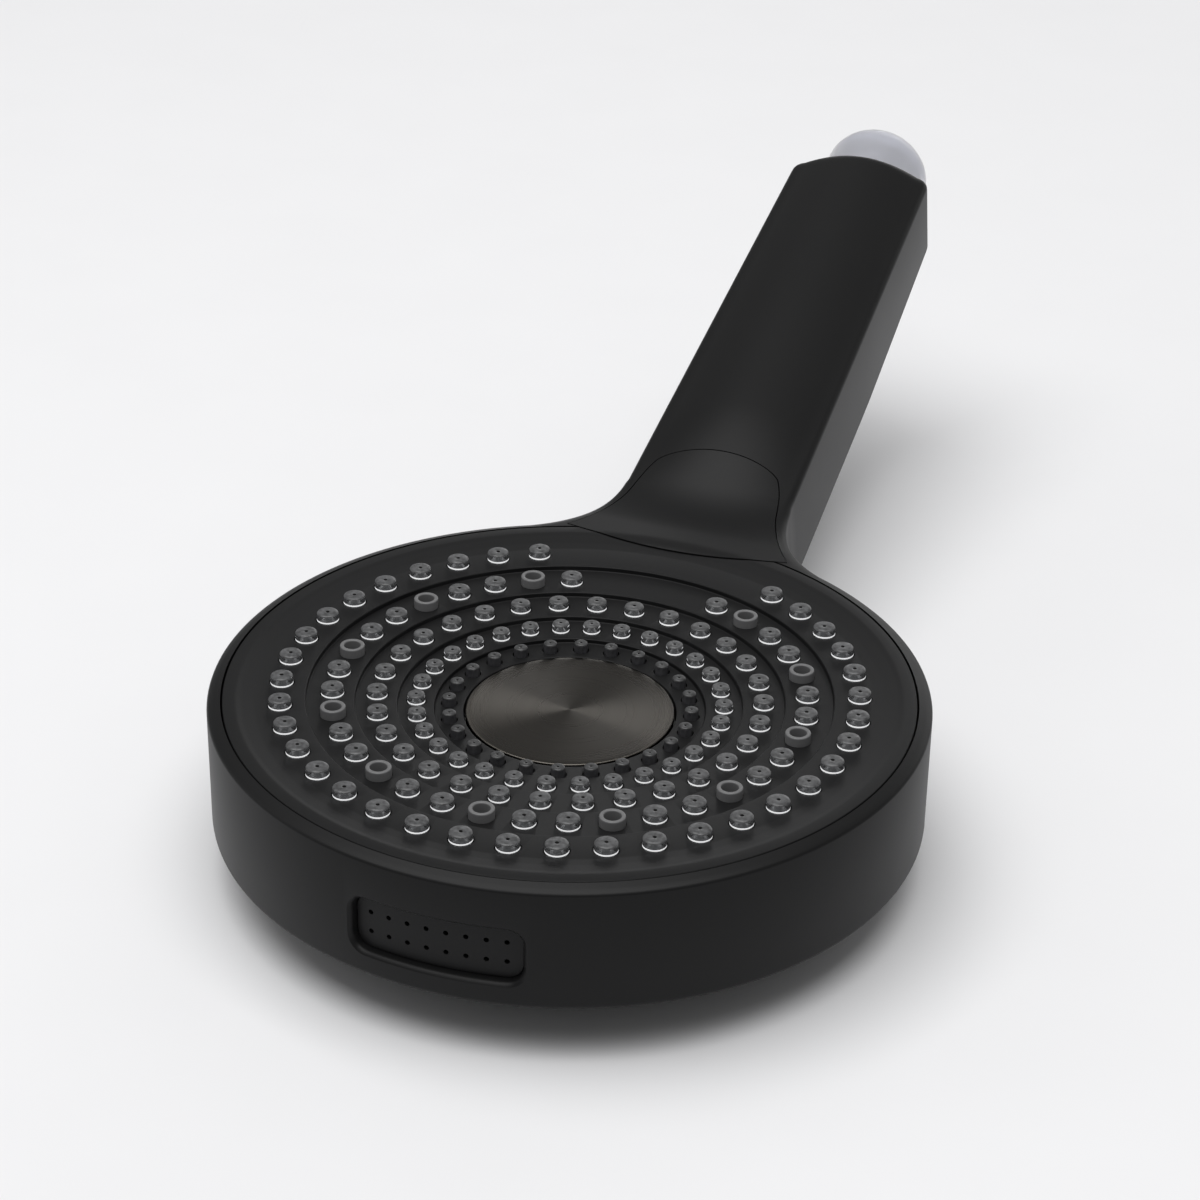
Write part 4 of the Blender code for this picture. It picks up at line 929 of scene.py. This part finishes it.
def rim_loft(levels):
    """A body through the rim from (distance from the head's axis, growth of its outline)."""
    middle = chosen().face.jet_middle
    rows = []
    for distance, grow in levels:
        row = []
        for across, height in window_outline(grow):
            angle = across / HEAD_RADIUS - math.pi / 2
            row.append((*polar(distance, angle), middle + height))
        rows.append(row)
    shape = bmesh.new()
    capped_loft(shape, rows)
    return to_mesh(shape, "window")


# Pieces


class Maker(bpy.types.Operator):
    """Base of the makers: one undoable step each."""

    bl_options = {"REGISTER", "UNDO"}


class MakeHandset(Maker):
    """Makes the one-piece outer moulding: head, neck and handle"""

    bl_idname = "shower_head.handset"
    bl_label = "Handset shell"

    def execute(self, context):
        sizes = chosen()
        head, handle = sizes.head, sizes.handle
        foot = HEAD_RADIUS - head.corner_round
        foot_z = head.back_corner - 1.6 * head.corner_round
        outer = [(HEAD_RADIUS - inward, head.height - down) for inward, down in reversed(LIP[1:-1])]
        slope = foot_z / (foot - head.back_radius)
        corner = [(HEAD_RADIUS, head.back_corner), (HEAD_RADIUS, foot_z + 0.9 * MM), (foot, foot_z)]
        lower = rounded(corner, MM, 4)
        back = rounded([(foot, foot_z), (head.back_radius, 0), (0, 0)], 1.2 * MM, 4)
        top = [(0, head.height), (OPENING_RADIUS, head.height)]
        profile = [*top, *outer, *lower[1:-1], *back]
        shape = bmesh.new()
        turned(shape, profile, ROUND)
        shell = to_mesh(shape, "handset")

        _, middle, tangent = neck_circle()
        start, full = tangent - 4 * MM, handle.crown_full
        bent = max(middle, handle.bend_start + handle.bend_radius * handle.tilt)
        stops = [start + (bent - start) * i / 20 for i in range(20)]
        stops += [bent + (full - bent) * i / 10 for i in range(10)]
        stops += [full + (handle.end - 3 * MM - full) * i / 12 for i in range(13)]
        rows = [handle_section(s) for s in stops]
        centre = inlet_axis().translation
        for back_off, drawn_in, narrowed in END_ROUND:
            row = [p.lerp(centre, drawn_in) for p in handle_section(handle.end - back_off)]
            rows.append([Vector((p.x * (1 - narrowed), p.y, p.z)) for p in row])
        outside = bmesh.new()
        capped_loft(outside, rows)

        # What is cut away: the head's inside, the handle's hollow and the hole for the fitting
        sideways = head.wall * math.hypot(1, 1 / slope)
        inner_foot = head.back_radius + head.wall / slope - sideways
        inner_corner = (OPENING_RADIUS - inner_foot - 1.5 * MM) * slope + head.wall
        cavity = bmesh.new()
        high = head.height + 3 * MM
        hollow = [(0, high), (OPENING_RADIUS, high), (OPENING_RADIUS, inner_corner + 1.5 * MM)]
        hollow += [(OPENING_RADIUS - 1.5 * MM, inner_corner), (inner_foot, head.wall)]
        hollow += [(0, head.wall)]
        turned(cavity, hollow, ROUND)
        duct = bmesh.new()
        first = tangent + HOLLOW_START
        inner_stops = [first + (handle.end - handle.end_wall - first) * i / 22 for i in range(23)]
        capped_loft(duct, [handle_section(s, HOLLOW_INSET) for s in inner_stops])
        bore = bmesh.new()
        near, far = MM, -handle.end_wall - MM
        hole = [(0, near), (INLET_HOLE, near), (INLET_HOLE, far), (0, far)]
        turned(bore, hole, 64, inlet_axis())
        pocket = trim_body(2 * MM, sizes.face.trim + GAP, GAP * 0.75)

        # The neck's pocket is cut first: after the other cuts it isn't cut cleanly
        hollows = [to_mesh(bore, "bore"), to_mesh(duct, "duct"), to_mesh(cavity, "cavity")]
        shell = carved(shell, to_mesh(outside, "handle"), operation="UNION")
        shell = carved(shell, pocket, *hollows, rim_loft(WINDOW_MOUTH))
        look = "satin_graphite"
        new_piece("handset", "handset", ["handset_shell"], [look], soften(shell))
        return {"FINISHED"}


class MakeSprayPlate(Maker):
    """Makes the stepped, dished spray plate, drilled for every outlet"""

    bl_idname = "shower_head.spray_plate"
    bl_label = "Spray plate"

    def execute(self, context):
        sizes = chosen()
        head, face = sizes.head, sizes.face
        edges = [radius for radius, _ in TERRACES[1:]] + [DISC_OPENING]
        steps = [(FACE_RADIUS, head.height - 4 * MM), (FACE_RADIUS, head.height)]
        steps += [(TERRACES[0][0] + inward, head.height - down) for inward, down in BORDER]
        steps += [(edges[0], TERRACES[0][1])]
        for (radius, top), inner in zip(TERRACES[1:], edges[1:]):
            steps += [(radius, top), (inner, top)]
        steps += [(DISC_OPENING, TERRACES[-1][1] - face.plate)]
        top_line = rounded(steps, 0.3 * MM, 3)
        low = head.height - 6.5 * MM
        bottoms = []
        outer = PLATE_SKIRT
        for (_, top), inner in zip(TERRACES, edges):
            bottoms += [(outer, top - face.plate), (inner, top - face.plate)]
            outer = inner
        profile = [(FACE_RADIUS, low), *top_line[:-1], *bottoms[::-1], (PLATE_SKIRT, low)]
        shape = bmesh.new()
        turned(shape, profile, ROUND)
        # Each kind of hole as (ring, radius with its play, whether it is for mist tubes)
        soft_play, mist_play = 0.22 * MM, 0.1 * MM
        holes = [(index, ring[2] + soft_play, False) for index, ring in enumerate(RINGS)]
        holes.append((MIST_RING, face.mist_radius + mist_play, True))
        cutters = []
        for index, radius, for_mist in holes:
            top = TERRACES[index][1]
            places = [(x, y) for x, y, mist in outlet_places(index) if mist == for_mist]
            cutters.append(rods(places, top - 2 * face.plate, top + face.plate, radius, 28))
        cutters.append(rods([(0, PLATE_ARC_MIDDLE)], 20 * MM, 40 * MM, PLATE_ARC_RADIUS + GAP, 720))
        plate = carved(to_mesh(shape, "spray_plate"), *cutters)
        look = "black_plate"
        new_piece("spray_plate", "handset", ["faceplate"], [look], soften(plate))
        return {"FINISHED"}


class MakeNeckTrim(Maker):
    """Makes the shield-shaped cover plate, flush in the neck"""

    bl_idname = "shower_head.neck_trim"
    bl_label = "Neck trim"

    def execute(self, context):
        sizes = chosen()
        trim = trim_body(0.0, sizes.face.trim, 0.0)
        look = "trim_graphite"
        piece = new_piece("trim", "handset", ["neck_trim"], [look], soften(trim))
        edge = piece.modifiers.new("soft_edge", "BEVEL")
        edge.width, edge.segments, edge.limit_method = 0.12 * MM, 2, "ANGLE"
        edge.angle_limit, edge.harden_normals = math.radians(50), True
        return {"FINISHED"}


class MakeOutlets(Maker):
    """Makes the soft outlets of each ring on its mat"""

    bl_idname = "shower_head.outlets"
    bl_label = "Soft outlets"

    def execute(self, context):
        sizes = chosen()
        face = sizes.face
        inner_edges = [edge for edge, _ in TERRACES[1:]] + [DISC_OPENING]
        clear = ["clear_silicone", "frosted_silicone", "silicone_core", "silicone_foot"]
        smoky = ["smoky_silicone", "smoky_top", "smoky_silicone", "smoky_silicone"]
        for index, (_, _, radius, _) in enumerate(RINGS):
            node = f"nozzle_mat_{index + 1}"
            low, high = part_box(node)
            deck = TERRACES[index][1]
            mat_top, tip = deck - face.plate - GAP, deck + face.nozzle_rise
            innermost = index == len(RINGS) - 1
            shape = bmesh.new()
            inner, outer = inner_edges[index] + GAP, high.x
            ring = [(outer, mat_top), (outer, low.z), (inner, low.z), (inner, mat_top)]
            turned(shape, ring, 96)
            for x, y, mist in outlet_places(index):
                if not mist:
                    outlet(shape, x, y, mat_top - 0.05 * MM, deck, tip, radius, innermost)
            # The last look, black rubber, darkens the outlets' pin-hole bores: painted shade
            looks = [*(smoky if innermost else clear), "black_rubber"]
            mesh = soften(to_mesh(shape, f"outlets_{index + 1}"), math.radians(48))
            new_piece(f"outlets_{index + 1}", "handset", [node], looks, mesh)
        return {"FINISHED"}


class MakeMistTubes(Maker):
    """Makes the hard mist tubes on their manifold"""

    bl_idname = "shower_head.mist_tubes"
    bl_label = "Mist tubes"

    def execute(self, context):
        sizes = chosen()
        face = sizes.face
        low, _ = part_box("mist_nozzles")
        deck = TERRACES[MIST_RING][1]
        tip = deck + face.mist_rise
        wide, bore = face.mist_radius, face.mist_bore
        shape = bmesh.new()
        corners = [(wide, low.z), (wide, tip), (bore, tip), (bore, low.z)]
        line = rounded(corners, 0.28 * MM, 4)
        # A thin dark floor inside each tube
        floor, reach = deck - 0.9 * MM, bore - 0.02 * MM
        plug = [(0, floor), (reach, floor), (reach, floor - MM), (0, floor - MM)]
        for x, y, mist in outlet_places(MIST_RING):
            if mist:
                where = Matrix.Translation((x, y, 0))
                turned(shape, line, 40, where)
                turned(shape, plug, 24, where, [1] * 3)
        mesh = soften(to_mesh(shape, "mist_tubes"))
        looks = ["mist_grey", "black_plate"]
        new_piece("mist_tubes", "handset", ["mist_nozzles"], looks, mesh)
        return {"FINISHED"}


class MakeDisc(Maker):
    """Makes the spun metal disc of the push button"""

    bl_idname = "shower_head.disc"
    bl_label = "Button disc"

    def execute(self, context):
        # A small round edge, then rings across the top so that the gloss stays even
        edge = 0.25 * MM
        line = [(DISC_RADIUS, DISC_BOTTOM)]
        for i in range(6):
            a = math.pi / 2 * i / 5
            inward, down = edge * (1 - math.cos(a)), edge * (1 - math.sin(a))
            line.append((DISC_RADIUS - inward, DISC_TOP - down))
        line += [(DISC_RADIUS * k, DISC_TOP) for k in (0.93, 0.8, 0.6, 0.4, 0.2, 0.05)]
        profile = [(0, DISC_BOTTOM), *line, (0, DISC_TOP)]
        shape = bmesh.new()
        turned(shape, profile, ROUND)
        mesh = soften(to_mesh(shape, "disc"))
        new_piece("disc", "button", ["button_disc"], ["brushed_disc"], mesh)
        return {"FINISHED"}


class MakeSideJets(Maker):
    """Makes the jet plate in the rim's window"""

    bl_idname = "shower_head.side_jets"
    bl_label = "Side jets"

    def execute(self, context):
        sizes = chosen()
        face = sizes.face
        low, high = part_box("side_jet_plate")
        front = HEAD_RADIUS - face.jet_recess
        rim = OPENING_RADIUS - GAP
        ring = bmesh.new()
        thickness, flange_reach, fit = 1.4 * MM, 1.5 * MM, GAP * 0.6
        back = rim - thickness
        band = [(front, high.z), (front, low.z), (back, low.z), (back, high.z)]
        turned(ring, band, 2 * ROUND)
        near = 50 * MM
        flange = rim_loft([(RIM_REACH, flange_reach), (near, flange_reach)])
        plate = carved(to_mesh(ring, "side_jets"), flange, operation="INTERSECT")
        shoulder = bmesh.new()
        outside = front + MM
        top, bottom = JET_BAND + high.z, low.z - JET_BAND
        band = [(outside, top), (outside, bottom), (rim, bottom), (rim, top)]
        turned(shoulder, band, 2 * ROUND)
        boss = rim_loft([(RIM_REACH, -fit), (near, -fit)])
        plate = carved(plate, carved(to_mesh(shoulder, "shoulder"), boss))
        holes = bmesh.new()
        outwards = Matrix.Translation((0, 0, front))
        for column in range(JET_COLUMNS):
            angle = JET_STEP * (column - (JET_COLUMNS - 1) / 2) - math.pi / 2
            turn = Matrix.Rotation(angle, 4, "Z") @ Matrix.Rotation(math.pi / 2, 4, "Y")
            for side in (-1, 1):
                height = face.jet_middle + side * JET_ROWS_APART / 2
                where = Matrix.Translation((0, 0, height)) @ turn @ outwards
                rod(holes, face.jet_hole, 12 * MM, 20, where)
        plate = carved(plate, to_mesh(holes, "holes"))
        look = "black_plate"
        new_piece("side_jets", "handset", ["side_jet_plate"], [look], soften(plate))
        return {"FINISHED"}


class MakeInlet(Maker):
    """Makes the threaded hose connector in the handle's end"""

    bl_idname = "shower_head.inlet"
    bl_label = "Hose inlet"

    def execute(self, context):
        sizes = chosen()
        inlet = sizes.inlet
        place = inlet_axis()
        steps = 96
        rows = turned_rows([(inlet.bore, inlet.thread_length)], steps, place)
        lead_in, lead_depth = 1.2 * MM, 0.95 * MM
        crest, flank = 1.45, 4.4
        count = 72
        for i in range(count + 1):
            a = inlet.thread_length - (inlet.thread_length - GAP) * i / count
            ease = min((inlet.thread_length - a) / lead_in, 1.0)
            row = []
            for k in range(steps):
                turn = k / steps
                phase = (a / inlet.thread_pitch - turn) % 1.0
                groove = min(1.0, max(0.0, crest - abs(phase - 0.5) * flank))
                groove *= min((a - GAP) / MM, 1.0)
                reach = inlet.thread_radius - lead_depth * (1 - ease)
                reach -= inlet.thread_depth * groove * ease
                row.append(place @ Vector((*polar(reach, 2 * math.pi * turn), a)))
            rows.append(row)
        rows += turned_rows([*INLET_INSIDE, (inlet.bore, -16 * MM)], steps, place)
        shape = bmesh.new()
        skin(shape, rows, True)
        mesh = soften(to_mesh(shape, "inlet"), math.radians(28))
        new_piece("inlet", "handset", ["inlet_fitting"], ["brass"], mesh)
        return {"FINISHED"}


class MakeCap(Maker):
    """Makes the thin milky cap pushed over the inlet"""

    bl_idname = "shower_head.cap"
    bl_label = "Protective cap"

    def execute(self, context):
        sizes = chosen()
        inlet = sizes.inlet
        radius, skirt = inlet.cap_radius, inlet.cap_skirt
        inner, dome = radius - inlet.cap_wall, inlet.cap_dome
        inner_dome = dome - inlet.cap_wall
        angles = [math.pi / 2 * i / 20 for i in range(21)]
        outside = [(radius * math.sin(a), skirt + dome * math.cos(a)) for a in angles]
        lip = radius + 0.12 * MM
        foot = [(radius, 1.5 * MM), (lip, 1.1 * MM), (lip, GAP), (inner, GAP)]
        inside = [(inner * math.cos(a), skirt + inner_dome * math.sin(a)) for a in angles]
        shape = bmesh.new()
        turned(shape, outside + foot + inside, 96, inlet_axis())
        mesh = soften(to_mesh(shape, "cap"))
        new_piece("cap", "cap", ["protective_cap"], ["milky_cap"], mesh)
        return {"FINISHED"}


class FinishInside(Maker):
    """Gives the pieces inside their own finishes"""

    bl_idname = "shower_head.inside"
    bl_label = "Inner pieces"

    def execute(self, context):
        for node in frame["nodes"].values():
            for place in node.material_slots:
                name = place.material.name.split(".")[0]
                if name not in shelf():
                    raise RuntimeError(f"no finish is made for the slot {name}")
                place.material = shelf()[name]
        return {"FINISHED"}


class SetStage(Maker):
    """Sets the pale floor, the soft studio light and the camera"""

    bl_idname = "shower_head.stage"
    bl_label = "Studio"

    def execute(self, context):
        sizes = chosen()
        light = sizes.light
        scene = bpy.context.scene
        scene.view_settings.view_transform = "Standard"
        shape = bmesh.new()
        bmesh.ops.create_grid(shape, x_segments=1, y_segments=1, size=4.0)
        sheet = bpy.data.meshes.new("sheet")
        shape.to_mesh(sheet)
        shape.free()
        floor = bpy.data.objects.new("floor", sheet)
        scene.collection.objects.link(floor)
        floor.location.z = -0.02 * MM
        rgb = tuple(light.floor)
        paper = Finish("floor_paper", Specular_IOR_Level=0.2)
        fibre = paper.noise(35.0, 4.0)
        paper.paint(Base_Color=paper.mix(fibre, tint(rgb, 0.985), tint(rgb, 1.01)))
        paper.paint(Roughness=0.75 + fibre * 0.1)
        floor.data.materials.append(paper.material)

        world = bpy.data.worlds.new("studio")
        world.use_nodes = True
        sky = world.node_tree.nodes["Background"]
        sky.inputs["Color"].default_value = (1.0, 1.0, 1.0, 1.0)
        sky.inputs["Strength"].default_value = light.room
        scene.world = world

        middle = Vector((0, 0.06, 0.02))
        panels = (
            ("key", light.key, (1.8, 1.5), (-0.1, -0.2, 1.6)),
            ("left", light.side, (0.8, 0.8), (-1.3, -0.2, 0.7)),
            ("back", light.back, (1.4, 0.35), (0.1, 1.4, 0.42)),
        )
        for name, strength, (wide, high), where in panels:
            lamp = bpy.data.lights.new(name, "AREA")
            lamp.shape, lamp.energy = "RECTANGLE", strength
            lamp.size, lamp.size_y = wide, high
            panel = bpy.data.objects.new(name, lamp)
            panel.location = where
            aim = (middle - Vector(where)).to_track_quat("-Z", "Y")
            panel.rotation_euler = aim.to_euler()
            scene.collection.objects.link(panel)

        lens = bpy.data.cameras.new("camera")
        lens.lens, lens.sensor_width = 92.01, 36.0
        lens.clip_start, lens.clip_end = 0.01, 20.0
        camera = bpy.data.objects.new("camera", lens)
        right = Vector((0.93996, 0.34099, 0.01379))
        up = Vector((-0.17604, 0.44985, 0.87558))
        ahead = Vector((-0.29236, 0.82545, -0.48287))
        turn = Matrix((right, up, -ahead)).transposed().to_4x4()
        camera.matrix_world = Matrix.Translation((0.15717, -0.42905, 0.30212)) @ turn
        scene.collection.objects.link(camera)
        scene.camera = camera
        return {"FINISHED"}


class ShowerHeadPanel(bpy.types.Panel):
    """Lists the makers in the 3D view's sidebar"""

    bl_idname = "VIEW3D_PT_shower_head"
    bl_label = "Shower Head"
    bl_space_type = "VIEW_3D"
    bl_region_type = "UI"
    bl_category = "Shower Head"

    def draw(self, context):
        for maker in MAKERS:
            self.layout.operator(maker.bl_idname)


GROUPS = (HeadSizes, HandleSizes, FaceSizes, InletSizes, FinishColours, StageLights, ShowerHead)
MAKERS = (
    SetStage,
    MakeHandset,
    MakeSprayPlate,
    MakeNeckTrim,
    MakeOutlets,
    MakeMistTubes,
    MakeDisc,
    MakeSideJets,
    MakeInlet,
    MakeCap,
    FinishInside,
)


def register():
    for group in GROUPS + MAKERS + (ShowerHeadPanel,):
        bpy.utils.register_class(group)
    bpy.types.Scene.shower_head = bpy.props.PointerProperty(type=ShowerHead)


def unregister():
    del bpy.types.Scene.shower_head
    for group in reversed(GROUPS + MAKERS + (ShowerHeadPanel,)):
        bpy.utils.unregister_class(group)


def main():
    """Makes everything in order."""
    for thing in list(bpy.data.objects):
        if thing.name in ("Cube", "Light", "Camera"):
            bpy.data.objects.remove(thing)
    register()
    bpy.ops.shower_head.stage()
    bpy.ops.shower_head.handset()
    bpy.ops.shower_head.spray_plate()
    bpy.ops.shower_head.neck_trim()
    bpy.ops.shower_head.outlets()
    bpy.ops.shower_head.mist_tubes()
    bpy.ops.shower_head.disc()
    bpy.ops.shower_head.side_jets()
    bpy.ops.shower_head.inlet()
    bpy.ops.shower_head.cap()
    bpy.ops.shower_head.inside()


if __name__ == "__main__":
    main()
